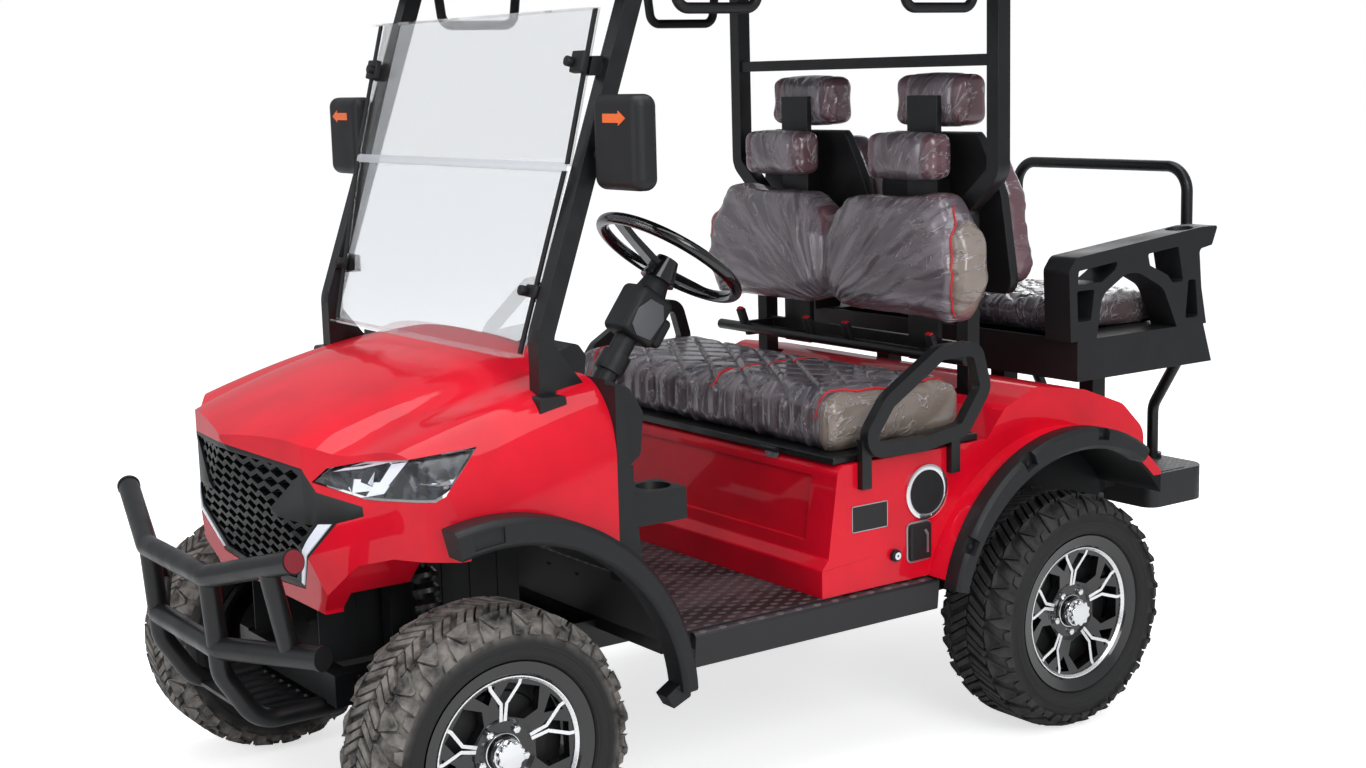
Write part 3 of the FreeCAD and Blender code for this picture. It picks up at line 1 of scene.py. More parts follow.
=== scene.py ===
# %% [markdown]
# A lifted electric golf cart, dressed around its engineering model. Each cell makes one piece or one
# finish. The engineering model is loaded first: its bodies and joints stay as they are, and every
# new piece is hung on one of those bodies so that it moves with it.

# %% Load the engineering model
import json
import math

import bmesh
import bpy
import numpy as np
from mathutils import Matrix, Vector
from mathutils.bvhtree import BVHTree


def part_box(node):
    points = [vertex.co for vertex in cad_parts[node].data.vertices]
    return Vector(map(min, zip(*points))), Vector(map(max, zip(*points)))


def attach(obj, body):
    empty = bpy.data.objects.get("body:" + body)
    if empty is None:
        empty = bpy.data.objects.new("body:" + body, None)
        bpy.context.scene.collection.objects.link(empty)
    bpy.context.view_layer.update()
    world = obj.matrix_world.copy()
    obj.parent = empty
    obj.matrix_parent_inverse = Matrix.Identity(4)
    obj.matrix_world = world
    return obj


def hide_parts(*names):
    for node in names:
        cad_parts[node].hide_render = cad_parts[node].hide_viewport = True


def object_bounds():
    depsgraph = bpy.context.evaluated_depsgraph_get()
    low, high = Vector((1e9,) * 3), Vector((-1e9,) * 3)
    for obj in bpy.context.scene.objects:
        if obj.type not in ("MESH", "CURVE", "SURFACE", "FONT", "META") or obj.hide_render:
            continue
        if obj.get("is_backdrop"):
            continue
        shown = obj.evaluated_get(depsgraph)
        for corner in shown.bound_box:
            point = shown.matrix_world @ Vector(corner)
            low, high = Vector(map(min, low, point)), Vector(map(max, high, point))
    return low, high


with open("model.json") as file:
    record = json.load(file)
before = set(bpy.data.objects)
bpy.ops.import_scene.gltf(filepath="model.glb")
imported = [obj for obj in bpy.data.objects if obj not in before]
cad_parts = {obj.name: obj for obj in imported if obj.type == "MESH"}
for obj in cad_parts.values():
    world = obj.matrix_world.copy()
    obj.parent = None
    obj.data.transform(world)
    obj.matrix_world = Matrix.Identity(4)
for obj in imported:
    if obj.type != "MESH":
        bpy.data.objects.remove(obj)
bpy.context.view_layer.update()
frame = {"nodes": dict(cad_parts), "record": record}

nodes = frame["nodes"]

# %% [markdown]
# Sizes are written the way a body shop measures: in millimetres, with x forward from the rear axle,
# y to the driver's left and z up from the ground. One function turns them into the scene's metres.

# %% Places in millimetres
REAR_AXLE_X = -607.0
WHEELBASE = 1600.0


def at(x, y, z):
    """A place given in millimetres from the rear axle, as scene coordinates in metres."""
    return Vector(((REAR_AXLE_X + x) / 1000, y / 1000, z / 1000))


def mm(length):
    return length / 1000


# %% [markdown]
# The camera stands where the photographer stood, found from the circles of the wheels: in front of
# the cart on its left side, a little above the mirrors, with a lens of about 50 mm.

# %% Camera
camera_place = Vector((2.7808, 3.8149, 1.6276))
yaw, pitch, roll = 0.95647, 0.16184, -0.02622
focal_pixels, image_width, sensor_mm = 1895.7, 1366, 36.0

look = Vector((-math.cos(yaw) * math.cos(pitch), -math.sin(yaw) * math.cos(pitch), -math.sin(pitch)))
level_right = Vector((-math.sin(yaw), math.cos(yaw), 0))
level_up = level_right.cross(look)
right = level_right * math.cos(roll) + level_up * math.sin(roll)
up = level_up * math.cos(roll) - level_right * math.sin(roll)

bpy.ops.object.camera_add(location=camera_place)
camera = bpy.context.object
camera.rotation_euler = Matrix((right, up, -look)).transposed().to_euler()
camera.data.sensor_width = sensor_mm
camera.data.lens = focal_pixels / image_width * sensor_mm
camera.data.clip_end = 60
bpy.context.scene.camera = camera
print("camera at", tuple(camera_place), "lens", round(camera.data.lens, 1))

# %% [markdown]
# The light is a plain photo studio: a large soft lamp overhead, one from the camera's side and a
# weaker one from behind. The floor and the world look white to the camera and through glass, but light
# the cart only weakly, so the paint keeps its own colour.

# %% Studio floor, lamps and world
bpy.context.scene.view_settings.view_transform = "Standard"


def add_node(tree, kind, inputs=None, output=0, **settings):
    """Add one node, set its options, link or set its inputs, and return one of its outputs."""
    made = tree.nodes.new("ShaderNode" + kind)
    for name, value in settings.items():
        setattr(made, name, value)
    for name, value in (inputs or {}).items():
        if isinstance(value, bpy.types.NodeSocket):
            tree.links.new(value, made.inputs[name])
        else:
            made.inputs[name].default_value = value
    return made.outputs[output] if len(made.outputs) else made


def linear(colour):
    """An sRGB hex colour such as 'c8102e' as linear RGBA."""
    channels = [int(colour[i:i + 2], 16) / 255 for i in (0, 2, 4)]
    turned = [c / 12.92 if c <= 0.04045 else ((c + 0.055) / 1.055) ** 2.4 for c in channels]
    return (*turned, 1.0)


WHITE = linear("ffffff")


def end_with(tree, kind, others_see, camera_sees):
    """End a tree: the camera, also through glass, sees one look and all other rays the other."""
    path = add_node(tree, "LightPath").node
    direct = add_node(tree, "Math", {0: path.outputs["Is Camera Ray"], 1: path.outputs["Is Transmission Ray"]},
                      operation="MAXIMUM")
    add_node(tree, kind, {"Surface": add_node(tree, "MixShader", {0: direct, 1: others_see, 2: camera_sees})})


world = bpy.data.worlds.new("studio")
bpy.context.scene.world = world
world.use_nodes = True
sky = world.node_tree
sky.nodes.clear()
end_with(sky, "OutputWorld", add_node(sky, "Background", {"Color": linear("f2f4f8"), "Strength": 0.5}),
         add_node(sky, "Background", {"Color": WHITE, "Strength": 1.0}))


def soft_lamp(name, place, target, size, power):
    """A square area lamp of this size in metres and power in watts, aimed at a target."""
    bpy.ops.object.light_add(type="AREA", location=place)
    lamp = bpy.context.object
    lamp.name = name
    lamp.data.size = size
    lamp.data.energy = power
    lamp.rotation_euler = (Vector(target) - Vector(place)).to_track_quat("-Z", "Y").to_euler()


soft_lamp("overhead", (0.4, 0.6, 5.0), (0, 0, 0.6), 4.5, 170)
soft_lamp("camera_side", (1.2, 5.6, 3.4), (0, 0, 0.7), 3.0, 150)
soft_lamp("front", (5.5, 0.5, 2.4), (0.8, 0, 0.7), 2.6, 60)
soft_lamp("behind", (-4.5, -2.0, 3.2), (0, 0, 0.9), 3.0, 60)

bpy.ops.mesh.primitive_plane_add(size=60)
floor_plane = bpy.context.object
floor_plane.name = "studio_floor"
floor_plane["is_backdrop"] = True
floor_look = bpy.data.materials.new("white_studio_floor")
floor_look.use_nodes = True
tree = floor_look.node_tree
tree.nodes.clear()
paper = add_node(tree, "BsdfDiffuse", {"Color": linear("f0f0f0")})
glow = add_node(tree, "Emission", {"Color": WHITE, "Strength": 0.66})
end_with(tree, "OutputMaterial", paper, add_node(tree, "AddShader", {0: paper, 1: glow}))
floor_plane.data.materials.append(floor_look)

# %% [markdown]
# Every finish starts from one shader. Colours are given as they would be read off a screen, and the
# small bumps and mottling read the piece's own Object coordinates, so they stay put when it moves.
# Most finishes are one colour under a fine skin of lumps, so one helper makes them whole.

# %% Helpers that start a finish
def finish_of(name, colour, roughness, metallic=0.0, **sockets):
    """A new material with one Principled shader; returns it with its node tree and shader."""
    made = bpy.data.materials.new(name)
    made.use_nodes = True
    tree = made.node_tree
    tree.nodes.clear()
    named = {socket.replace("_", " "): value for socket, value in sockets.items()}
    shader = add_node(tree, "BsdfPrincipled", {"Base Color": linear(colour), "Roughness": roughness,
                                               "Metallic": metallic, **named}).node
    add_node(tree, "OutputMaterial", {"Surface": shader.outputs[0]})
    return made, tree, shader


def lumps(tree, size_mm, detail=2.0, rough=0.5):
    """Lumps about size_mm across, held to the piece's own coordinates."""
    own_place = add_node(tree, "TexCoord", output="Object")
    return add_node(tree, "TexNoise", {"Vector": own_place, "Scale": 1000 / size_mm, "Detail": detail,
                                       "Roughness": rough})


def ramp(low, high, low_gives=0.0, high_gives=1.0):
    """Map Range settings that turn low..high into low_gives..high_gives."""
    return {"From Min": low, "From Max": high, "To Min": low_gives, "To Max": high_gives}


def patches(tree, size_mm, detail, *levels, rough=0.5):
    """Soft patches: lumps whose levels are stretched as ramp says."""
    return add_node(tree, "MapRange", {"Value": lumps(tree, size_mm, detail, rough), **ramp(*levels)})


def raised(tree, shader, height, depth_mm, strength):
    """Show the surface raised by up to depth_mm where height is 1."""
    skin = add_node(tree, "Bump", {"Height": height, "Distance": mm(depth_mm), "Strength": strength})
    tree.links.new(skin, shader.inputs["Normal"])


def mixed(amount, first, second):
    """Two colours, hex or from the tree, mixed by amount: the inputs and options of a Mix node."""
    first, second = (linear(c) if isinstance(c, str) else c for c in (first, second))
    return {"inputs": {0: amount, 6: first, 7: second}, "output": 2, "data_type": "RGBA"}


def coloured(tree, shader, amount, first, second):
    """Let the shader's colour change from first to second with amount."""
    tree.links.new(add_node(tree, "Mix", **mixed(amount, first, second)), shader.inputs["Base Color"])


def plain_finish(name, colour, roughness, lump_mm, depth_mm, strength, metallic=0.0, detail=2.0, **sockets):
    """One colour under a skin of fine lumps."""
    made, tree, shader = finish_of(name, colour, roughness, metallic, **sockets)
    raised(tree, shader, lumps(tree, lump_mm, detail), depth_mm, strength)
    return made


# %% [markdown]
# Body paint is sprayed red with a clear coat. Paint of this kind has a faint orange peel, lumps of
# about 5 mm that are only a few hundredths of a millimetre high. The red turns slightly deeper in
# random patches about 160 mm across. Inside the wheel arches and along the tail's lower edge the
# shells are lined with black plastic, so the finish turns black and dull there.

# %% Red paint with black arch liners
REAR_LINER_MM, FRONT_LINER_MM = 416, 430
TAIL_LINER_X, TAIL_LINER_TOP = -290, 0.59


def inside_arch(tree, x, z, centre, radius_mm):
    """1 on the points nearer to an arch's axis than its radius."""
    squares = []
    for place, middle in ((x, at(*centre).x), (z, at(*centre).z)):
        away = add_node(tree, "Math", {0: place, 1: middle}, operation="SUBTRACT")
        squares.append(add_node(tree, "Math", {0: away, 1: 2.0}, operation="POWER"))
    reach = add_node(tree, "Math", {0: squares[0], 1: squares[1]}, operation="ADD")
    return add_node(tree, "Math", {0: reach, 1: mm(radius_mm) ** 2}, operation="LESS_THAN")


red_paint, tree, shader = finish_of("red_gloss_enamel", "da0424", 0.5, Coat_Weight=0.5, Coat_Roughness=0.04,
                                    Specular_IOR_Level=0.12)
# Random patches, about 160 mm across, of a slightly deeper red.
dust = patches(tree, 160, 3, 0.35, 0.7)
red = add_node(tree, "Mix", **mixed(dust, "da0424", "c60320"))
split = add_node(tree, "SeparateXYZ", {0: add_node(tree, "TexCoord", output="Object")}).node
x_place, z_place = split.outputs["X"], split.outputs["Z"]
behind_fascia = add_node(tree, "Math", {0: x_place, 1: at(WHEELBASE + 40, 0, 0).x}, operation="LESS_THAN")
front_arch = add_node(tree, "Math", {
    0: inside_arch(tree, x_place, z_place, (WHEELBASE - 10, 0, 305), FRONT_LINER_MM), 1: behind_fascia},
    operation="MULTIPLY")
rear_arch = inside_arch(tree, x_place, z_place, (0, 0, 305), REAR_LINER_MM)
arches = add_node(tree, "Math", {0: rear_arch, 1: front_arch}, operation="MAXIMUM")
far_back = add_node(tree, "Math", {0: x_place, 1: at(TAIL_LINER_X, 0, 0).x}, operation="LESS_THAN")
low_down = add_node(tree, "Math", {0: z_place, 1: TAIL_LINER_TOP}, operation="LESS_THAN")
tail = add_node(tree, "Math", {0: far_back, 1: low_down}, operation="MULTIPLY")
liner = add_node(tree, "Math", {0: arches, 1: tail}, operation="MAXIMUM")
coloured(tree, shader, liner, red, "141517")
coat = add_node(tree, "MapRange", {"Value": liner, **ramp(0, 1, 0.5, 0.0)})
tree.links.new(coat, shader.inputs["Coat Weight"])
raised(tree, shader, lumps(tree, 5), 0.03, 0.5)

# %% [markdown]
# Tubes and posts are powder coated: a satin black with a fine pebble of about 0.8 mm, drawn here at
# 2 mm so that it shows at this distance. Moulded panels are a little greyer and duller, with a grain
# from the mould. Their gloss drifts over a hand's width, as it does on parts that have been touched.

# %% Powder coat, moulded plastic and rubber
powder_coat, tree, shader = finish_of("black_powder_coat", "101113", 0.42, Coat_Weight=0.1,
                                      Specular_IOR_Level=0.4)
tree.links.new(patches(tree, 60, 3, 0.3, 0.7, 0.3, 0.48), shader.inputs["Roughness"])
raised(tree, shader, lumps(tree, 2), 0.06, 0.5)

moulded_black, tree, shader = finish_of("black_moulded_plastic", "18191b", 0.5, Specular_IOR_Level=0.35)
tree.links.new(patches(tree, 90, 3, 0.3, 0.7, 0.42, 0.58), shader.inputs["Roughness"])
raised(tree, shader, lumps(tree, 1.6), 0.08, 0.6)

# Smooth moulded trim: one soft highlight along each edge.
satin_black = plain_finish("satin_black_plastic", "0f1012", 0.4, 2, 0.05, 0.5)
# Polished plastic: sharp highlights, slightly wavy.
gloss_black = plain_finish("gloss_black_plastic", "0c0c0e", 0.15, 30, 0.02, 0.4, Coat_Weight=0.6)
# Painted castings: rough enough to show the sand mould.
cast_iron = plain_finish("painted_cast_iron", "1a1a1b", 0.55, 3, 0.2, 0.6, metallic=0.2, detail=3)
# Battery cases: plain dull plastic.
battery_case = plain_finish("ribbed_battery_case", "222326", 0.5, 4, 0.2, 0.5)

# Tyre rubber: dull black, greyed by dust.
rubber, tree, shader = finish_of("black_tyre_rubber", "1b1b1b", 0.72)
coloured(tree, shader, patches(tree, 45, 5, 0.4, 0.75, rough=0.65), "1a1a1b", "2c2a28")
raised(tree, shader, lumps(tree, 6, 4), 0.25, 0.5)

# %% [markdown]
# Bright parts: cast alloy wheels with machined faces, chromed caps and rings. A machined face is never
# evenly bright, so its roughness changes in patches of about 3 mm.

# %% Metals
chrome = plain_finish("polished_chrome", "e6e8ea", 0.08, 25, 0.02, 0.3, metallic=1.0)
machined, tree, shader = finish_of("machined_aluminium", "f0f1f2", 0.25, 0.9)
tree.links.new(patches(tree, 3, 4, 0.3, 0.7, 0.2, 0.34), shader.inputs["Roughness"])
alloy_black = plain_finish("gloss_black_alloy", "0b0b0c", 0.2, 20, 0.03, 0.4, metallic=0.1, Coat_Weight=0.7)
# Zinc plate on small steel parts: a soft grey shine.
zinc_plate = plain_finish("zinc_plated_steel", "b8babd", 0.3, 4, 0.05, 0.4, metallic=0.9)

# %% [markdown]
# Clear parts: the windshield is acrylic sheet with a grey-blue cast, and the lamp covers are clear
# polycarbonate. Both let light straight through with a gloss on top, and a long shallow wave in the
# sheet bends their reflections.

# %% Clear plastics
acrylic = plain_finish("clear_acrylic_sheet", "e9eff5", 0.03, 300, 0.4, 0.1, Transmission_Weight=1.0, IOR=1.2,
                       Alpha=0.42)
lamp_cover = plain_finish("clear_polycarbonate", "f4f7fa", 0.03, 200, 0.2, 0.1, Transmission_Weight=1.0,
                          IOR=1.25, Alpha=0.3)

# %% [markdown]
# The seats are leather cloth, grey-brown with wine borders, still under the thin clear film that they
# were delivered in. Film creases into long ridges, so the finish draws them as the contour lines of a
# stretched noise, raised, with a painted highlight along each line and a broader painted sheen over
# the darker leather below. The side panels are a lighter beige-grey cloth.

# %% Seat leather under film
def film_over(name, leather, border, side, stretch, sheen, gather=None, turn=(0, 0, 0)):
    """Leather under creased film; wine where the border is 1 and the side colour on side panels.

    The creases run along one direction, or fan out from the gather point, given as (y, z) in metres.
    """
    made, tree, shader = finish_of(name, leather, 0.33, Coat_Weight=0.9, Coat_Roughness=0.12)
    own_place = add_node(tree, "TexCoord", output="Object")
    if gather:
        split = add_node(tree, "SeparateXYZ", {0: own_place}).node
        aside = add_node(tree, "Math", {0: split.outputs["Y"], 1: gather[0]}, operation="SUBTRACT")
        high = add_node(tree, "Math", {0: split.outputs["Z"], 1: gather[1]}, operation="SUBTRACT")
        fan = add_node(tree, "Math", {0: high, 1: aside}, operation="ARCTAN2")
        squares = [add_node(tree, "Math", {0: way, 1: 2.0}, operation="POWER") for way in (aside, high)]
        total = add_node(tree, "Math", {0: squares[0], 1: squares[1]}, operation="ADD")
        reach = add_node(tree, "Math", {0: total}, operation="SQRT")
        moved = add_node(tree, "CombineXYZ", {
            k: add_node(tree, "Math", {0: way, 1: stretch[k]}, operation="MULTIPLY")
            for k, way in enumerate((fan, reach, split.outputs["X"]))})
    else:
        moved = add_node(tree, "Mapping", {"Vector": own_place, "Rotation": turn, "Scale": stretch})
    crease = add_node(tree, "TexNoise", {"Vector": moved, "Scale": 1.0, "Detail": 4.0, "Roughness": 0.6,
                                         "Distortion": 0.5})
    off_middle = add_node(tree, "Math", {0: crease, 1: 0.5}, operation="SUBTRACT")
    off_line = add_node(tree, "Math", {0: off_middle}, operation="ABSOLUTE")
    line = add_node(tree, "MapRange", {"Value": off_line, **ramp(0.0, 0.02, 1.0, 0.0)})
    # Painted sheen: where the crease noise runs high, the leather is mixed part way towards the lighter sheen
    # colour.
    painted_sheen = add_node(tree, "MapRange", {"Value": crease, **ramp(0.42, 0.66, 0.0, 0.5)})
    base = add_node(tree, "Mix", **mixed(patches(tree, 90, 4, 0.35, 0.65), leather, "5c5157"))
    base = add_node(tree, "Mix", **mixed(painted_sheen, base, sheen))
    for zone_name, share, colour in (("border", 0.75, border), ("side_panel", 0.8, side)):
        inside = add_node(tree, "Attribute", output="Fac", attribute_name=zone_name)
        amount = add_node(tree, "Math", {0: inside, 1: share}, operation="MULTIPLY")
        base = add_node(tree, "Mix", **mixed(amount, base, colour))
    # Painted highlight: along the crease lines the colour is mixed towards near-white d2ccd0.
    bright = add_node(tree, "Math", {0: line, 1: 0.45}, operation="MULTIPLY")
    coloured(tree, shader, bright, base, "d2ccd0")
    raised(tree, shader, add_node(tree, "Math", {0: line, 1: crease}, operation="ADD"), 4.5, 0.8)
    return made


back_gather = (0.0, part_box("front_backrest")[0][2] + 0.02)
# The last colour of each film is its painted sheen.
seat_film = film_over("leather_under_film", "383842", "74605f", "877a6e", (9, 26, 9), "8a8088",
                      turn=(0.5, 0, 0.35))
back_film = film_over("backrest_under_film", "625962", "5e2a32", "8c8074", (11, 5, 6), "a69ca4", back_gather)
# The cord in the piped seams: matt red cloth with the grain of its weave.
piping_red = plain_finish("red_piping_cord", "c8202a", 0.5, 2.5, 0.3, 0.5)

# %% [markdown]
# A few finishes for small things: lamp blades with a faint painted glow, the dark bowl behind them, red
# reflectors, the orange arrow of the side blinkers, dusty tread and perforated speaker mesh.

# %% Small finishes
# Frosted light guides, with a faint painted glow so that they read bright by day.
lamp_blade = plain_finish("frosted_light_guide", "dfe4ee", 0.25, 3, 0.1, 0.4, Coat_Weight=0.5,
                          Emission_Color=linear("e8edf6"), Emission_Strength=0.18)
# The bowl is smoked plastic, with paler patches painted on as reflections of the sky in its inner facets.
lamp_bowl, tree, shader = finish_of("smoked_lamp_bowl", "1a1d22", 0.22, Coat_Weight=0.4)
coloured(tree, shader, patches(tree, 26, 2, 0.45, 0.6), "15181c", "3b4047")
# Reflectors and lenses: moulded clear plastic over small prisms.
reflector_red = plain_finish("red_reflector", "7a1020", 0.25, 1.5, 0.2, 0.5, Coat_Weight=0.6)
arrow_orange = plain_finish("orange_lens", "f26a1b", 0.3, 2, 0.1, 0.4, Coat_Weight=0.5)
# The windshield's hinge: milky flexible strip.
hinge_strip = plain_finish("frosted_hinge_strip", "d3d9de", 0.3, 6, 0.1, 0.4, Alpha=0.55)
# The column's panels: grey plastic with the mould's grain.
grey_panel = plain_finish("grey_moulded_plastic", "55565a", 0.42, 1.6, 0.08, 0.5)
# Perforated sheet: black holes about 3 mm apart.
speaker_mesh, tree, shader = finish_of("perforated_speaker_mesh", "17191a", 0.6, Specular_IOR_Level=0.2)
holes = add_node(tree, "TexVoronoi", {"Vector": add_node(tree, "TexCoord", output="Object"), "Scale": 350.0,
                                      "Randomness": 0.0}, "Distance")
coloured(tree, shader, add_node(tree, "MapRange", {"Value": holes, **ramp(0.2, 0.45)}), "08080a", "202324")


def tread_finish(name, rubber_colour, dust_colour, reach):
    """Tyre rubber whose raised tread carries dried dust; reach says how much of it."""
    made, tree, shader = finish_of(name, rubber_colour, 0.75)
    up_the_tread = add_node(tree, "Attribute", output="Fac", attribute_name="tread")
    patchy = patches(tree, 40, 4, 0.3, 0.62, rough=0.6)
    both = add_node(tree, "Math", {0: up_the_tread, 1: patchy}, operation="MULTIPLY")
    amount = add_node(tree, "Math", {0: both, 1: reach}, operation="MULTIPLY")
    coloured(tree, shader, amount, rubber_colour, dust_colour)
    raised(tree, shader, lumps(tree, 5, 4), 0.3, 0.5)
    return made


dusty_tread = tread_finish("dusty_tyre_rubber", "151516", "817c77", 0.92)
dark_tread = tread_finish("black_tread_rubber", "141415", "403e3d", 0.6)

# %% [markdown]
# The floor mat and the rear step have a raised diamond pattern, 30 and 26 mm across. It is drawn as
# two crossed sets of ribs in the bump, 1.5 mm high, with dust between them.

# %% Diamond-pattern rubber
def diamond_rubber(name, colour, dust, pitch_mm):
    """Rubber sheet with diamonds on the faces that look up."""
    made, tree, shader = finish_of(name, colour, 0.5)
    own_place = add_node(tree, "TexCoord", output="Object")
    ribs = []
    for lean in (0.6, -0.6):
        turned = add_node(tree, "Mapping", {"Vector": own_place, "Rotation": (0, 0, lean)})
        ribs.append(add_node(tree, "TexWave", {"Vector": turned, "Scale": math.tau / 20 / mm(pitch_mm)}, "Fac",
                             bands_direction="Y"))
    crossing = add_node(tree, "Math", {0: ribs[0], 1: ribs[1]}, operation="MULTIPLY")
    diamonds = add_node(tree, "MapRange", {"Value": crossing, **ramp(0.3, 0.55)})
    normal = add_node(tree, "NewGeometry", output="Normal")
    up_way = add_node(tree, "SeparateXYZ", {0: normal}, "Z")
    on_top = add_node(tree, "MapRange", {"Value": up_way, **ramp(0.6, 0.8)})
    diamonds = add_node(tree, "Math", {0: diamonds, 1: on_top}, operation="MULTIPLY")
    patch = add_node(tree, "Math", {0: patches(tree, 150, 4, 0.4, 0.6), 1: on_top}, operation="MULTIPLY")
    worn = add_node(tree, "Math", {0: diamonds, 1: 0.6}, operation="MULTIPLY")
    ground = add_node(tree, "Mix", **mixed(patch, colour, dust))
    coloured(tree, shader, worn, ground, "6c6366")
    raised(tree, shader, diamonds, 1.5, 1.0)
    return made


floor_mat = diamond_rubber("diamond_floor_rubber", "17171a", "4a3f43", 30)
step_rubber = diamond_rubber("diamond_step_rubber", "17181a", "25272a", 26)
print("finishes", len(bpy.data.materials))

# %% [markdown]
# The engineering model's nodes carry on with better finishes. Their meshes are left alone. A moulded
# or welded piece never has a knife edge, so live modifiers weld a node's triangles, join its flat
# ones and round its edges a little, without touching the mesh itself.

# %% Finishes and rounded edges of the carried-over nodes
finish_for_slot = {
    "frame_steel": powder_coat, "red_body": red_paint, "lamp_lens": lamp_cover, "black_trim": moulded_black,
    "floor_rubber": floor_mat, "battery_case": battery_case, "seat_leather": seat_film,
    "roof_plastic": moulded_black, "clear_glass": acrylic, "axle_iron": cast_iron, "tyre_rubber": rubber,
    "alloy_rim": alloy_black,
}
finish_for_node = {"rear_step": step_rubber, "front_bumper": powder_coat, "steering_wheel": gloss_black,
                   "grille": satin_black, "front_fascia": satin_black}
slot_of_node = {row["node"]: row["material_slot"] for row in frame["record"]["subparts"]}
for name, node in nodes.items():
    node.data.materials.clear()
    node.data.materials.append(finish_for_node.get(name, finish_for_slot[slot_of_node[name]]))

edge_radius = {
    "rear_seat_box": 4, "dash": 4, "floor": 3, "rear_step": 3, "front_flares": 2, "rear_flares": 2,
    "front_posts": 3, "rear_roof_frame": 4, "backrest_shells": 6, "seat_frame": 2, "front_fascia": 1.2,
    "grille": 1, "rear_body": 2, "hip_restraints": 6, "chassis_frame": 2, "battery_pack": 6,
}
for name, radius in edge_radius.items():
    node = nodes[name]
    weld = node.modifiers.new("weld", "WELD")
    weld.merge_threshold = mm(0.02)
    flat = node.modifiers.new("flat", "DECIMATE")
    flat.decimate_type = "DISSOLVE"
    flat.angle_limit = math.radians(1)
    rounded = node.modifiers.new("rounded", "BEVEL")
    rounded.width = mm(radius)
    rounded.segments = 2
    rounded.limit_method = "ANGLE"
    rounded.angle_limit = math.radians(38)
print("rounded", len(edge_radius), "nodes")

# %% [markdown]
# New pieces start from a primitive and are shaped in edit mode. These helpers hold the steps that
# every piece needs: start from an outline, pull it to a solid, round its edges, and settle it on the
# body that carries it.

# %% Helpers that shape and settle a piece
def only(piece):
    """Select one object and nothing else."""
    bpy.ops.object.select_all(action="DESELECT")
    piece.select_set(True)
    bpy.context.view_layer.objects.active = piece


def edit(piece, *steps):
    """Run edit-mode steps with everything selected."""
    only(piece)
    bpy.ops.object.mode_set(mode="EDIT")
    for step in steps:
        bpy.ops.mesh.select_all(action="SELECT")
        step()
    bpy.ops.object.mode_set(mode="OBJECT")


def from_outline(name, points, filled=True):
    """A closed outline through the points, begun as a circle whose corners are moved there."""
    bpy.ops.object.select_all(action="DESELECT")
    bpy.ops.mesh.primitive_circle_add(vertices=len(points), fill_type="NGON" if filled else "NOTHING")
    made = bpy.context.object
    made.name = name
    for corner, point in zip(made.data.vertices, points):
        corner.co = point
    return made


def pull(piece, way):
    """Extrude everything along a direction."""
    edit(piece, lambda: bpy.ops.mesh.extrude_region_move(TRANSFORM_OT_translate={"value": tuple(way)}))
    edit(piece, lambda: bpy.ops.mesh.normals_make_consistent(inside=False))
    return piece


def use(piece, kind, **settings):
    """Add a modifier, set it and apply it."""
    only(piece)
    modifier = piece.modifiers.new(kind.lower(), kind)
    for name, value in settings.items():
        setattr(modifier, name, value)
    bpy.ops.object.modifier_apply(modifier=modifier.name)


def round_edges(piece, radius_mm, segments=2, angle=35):
    use(piece, "BEVEL", width=mm(radius_mm), segments=segments, limit_method="ANGLE",
        angle_limit=math.radians(angle))

def joined(name, parts):
    """Join several objects into the first."""
    bpy.ops.object.select_all(action="DESELECT")
    for part in parts:
        part.select_set(True)
    bpy.context.view_layer.objects.active = parts[0]
    bpy.ops.object.join()
    parts[0].name = name
    return parts[0]


def copied(piece, name):
    """A copy with its own mesh."""
    made = piece.copy()
    made.data = piece.data.copy()
    made.name = name
    bpy.context.scene.collection.objects.link(made)
    return made


def mirrored(piece, name):
    """A copy on the other side of the cart."""
    made = copied(piece, name)
    for corner in made.data.vertices:
        corner.co.y = -corner.co.y
    edit(made, lambda: bpy.ops.mesh.flip_normals())
    return made


def settle(piece, finish, body="chassis", smooth=35, at_origin=True):
    """Put the place into the mesh, close and smooth it, and hang it on its body."""
    only(piece)
    if at_origin:
        bpy.ops.object.transform_apply(location=True, rotation=True, scale=True)
    edit(piece, lambda: bpy.ops.mesh.remove_doubles(threshold=mm(0.01)))
    only(piece)
    bpy.ops.object.shade_smooth_by_angle(angle=math.radians(smooth))
    piece.data.materials.clear()
    piece.data.materials.append(finish)
    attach(piece, body)
    print(piece.name, "faces", len(piece.data.polygons))
    return piece


def bodies_copy(node, name):
    """A copy of a node's mesh with its loose triangles merged."""
    bpy.ops.object.select_all(action="DESELECT")
    made = bpy.data.objects.new(name, nodes[node].data.copy())
    bpy.context.scene.collection.objects.link(made)
    made.data.materials.clear()
    edit(made, lambda: bpy.ops.mesh.remove_doubles(threshold=mm(0.02)))
    return made


def edit_one_face(piece, choose):
    """Enter edit mode with just the face selected that choose picks out of all faces."""
    only(piece)
    bpy.ops.object.mode_set(mode="EDIT")
    bpy.ops.mesh.select_all(action="DESELECT")
    bpy.ops.object.mode_set(mode="OBJECT")
    choose(piece.data.polygons).select = True
    bpy.ops.object.mode_set(mode="EDIT")


def opened(piece, rim_mm, centre):
    """Cut a hole in a flat outline and leave a rim of this width."""
    edit(piece, lambda: bpy.ops.mesh.inset(thickness=mm(rim_mm)))
    edit_one_face(piece, lambda faces: min(faces, key=lambda face: (face.center - centre).length))
    bpy.ops.mesh.delete(type="FACE")
    bpy.ops.object.mode_set(mode="OBJECT")


def disc(name, centre, way, radius, deep, sides=48, hole=0.0):
    """A flat round disc or ring standing on a surface at centre and facing way."""
    turn = Vector(way).to_track_quat("Z", "Y")
    rim = [Vector((math.cos(k * math.tau / sides), math.sin(k * math.tau / sides), 0)) for k in range(sides)]
    made = from_outline(name, [centre + turn @ (p * mm(radius)) for p in rim])
    if hole:
        opened(made, radius - hole, centre)
    return pull(made, Vector(way).normalized() * mm(deep))


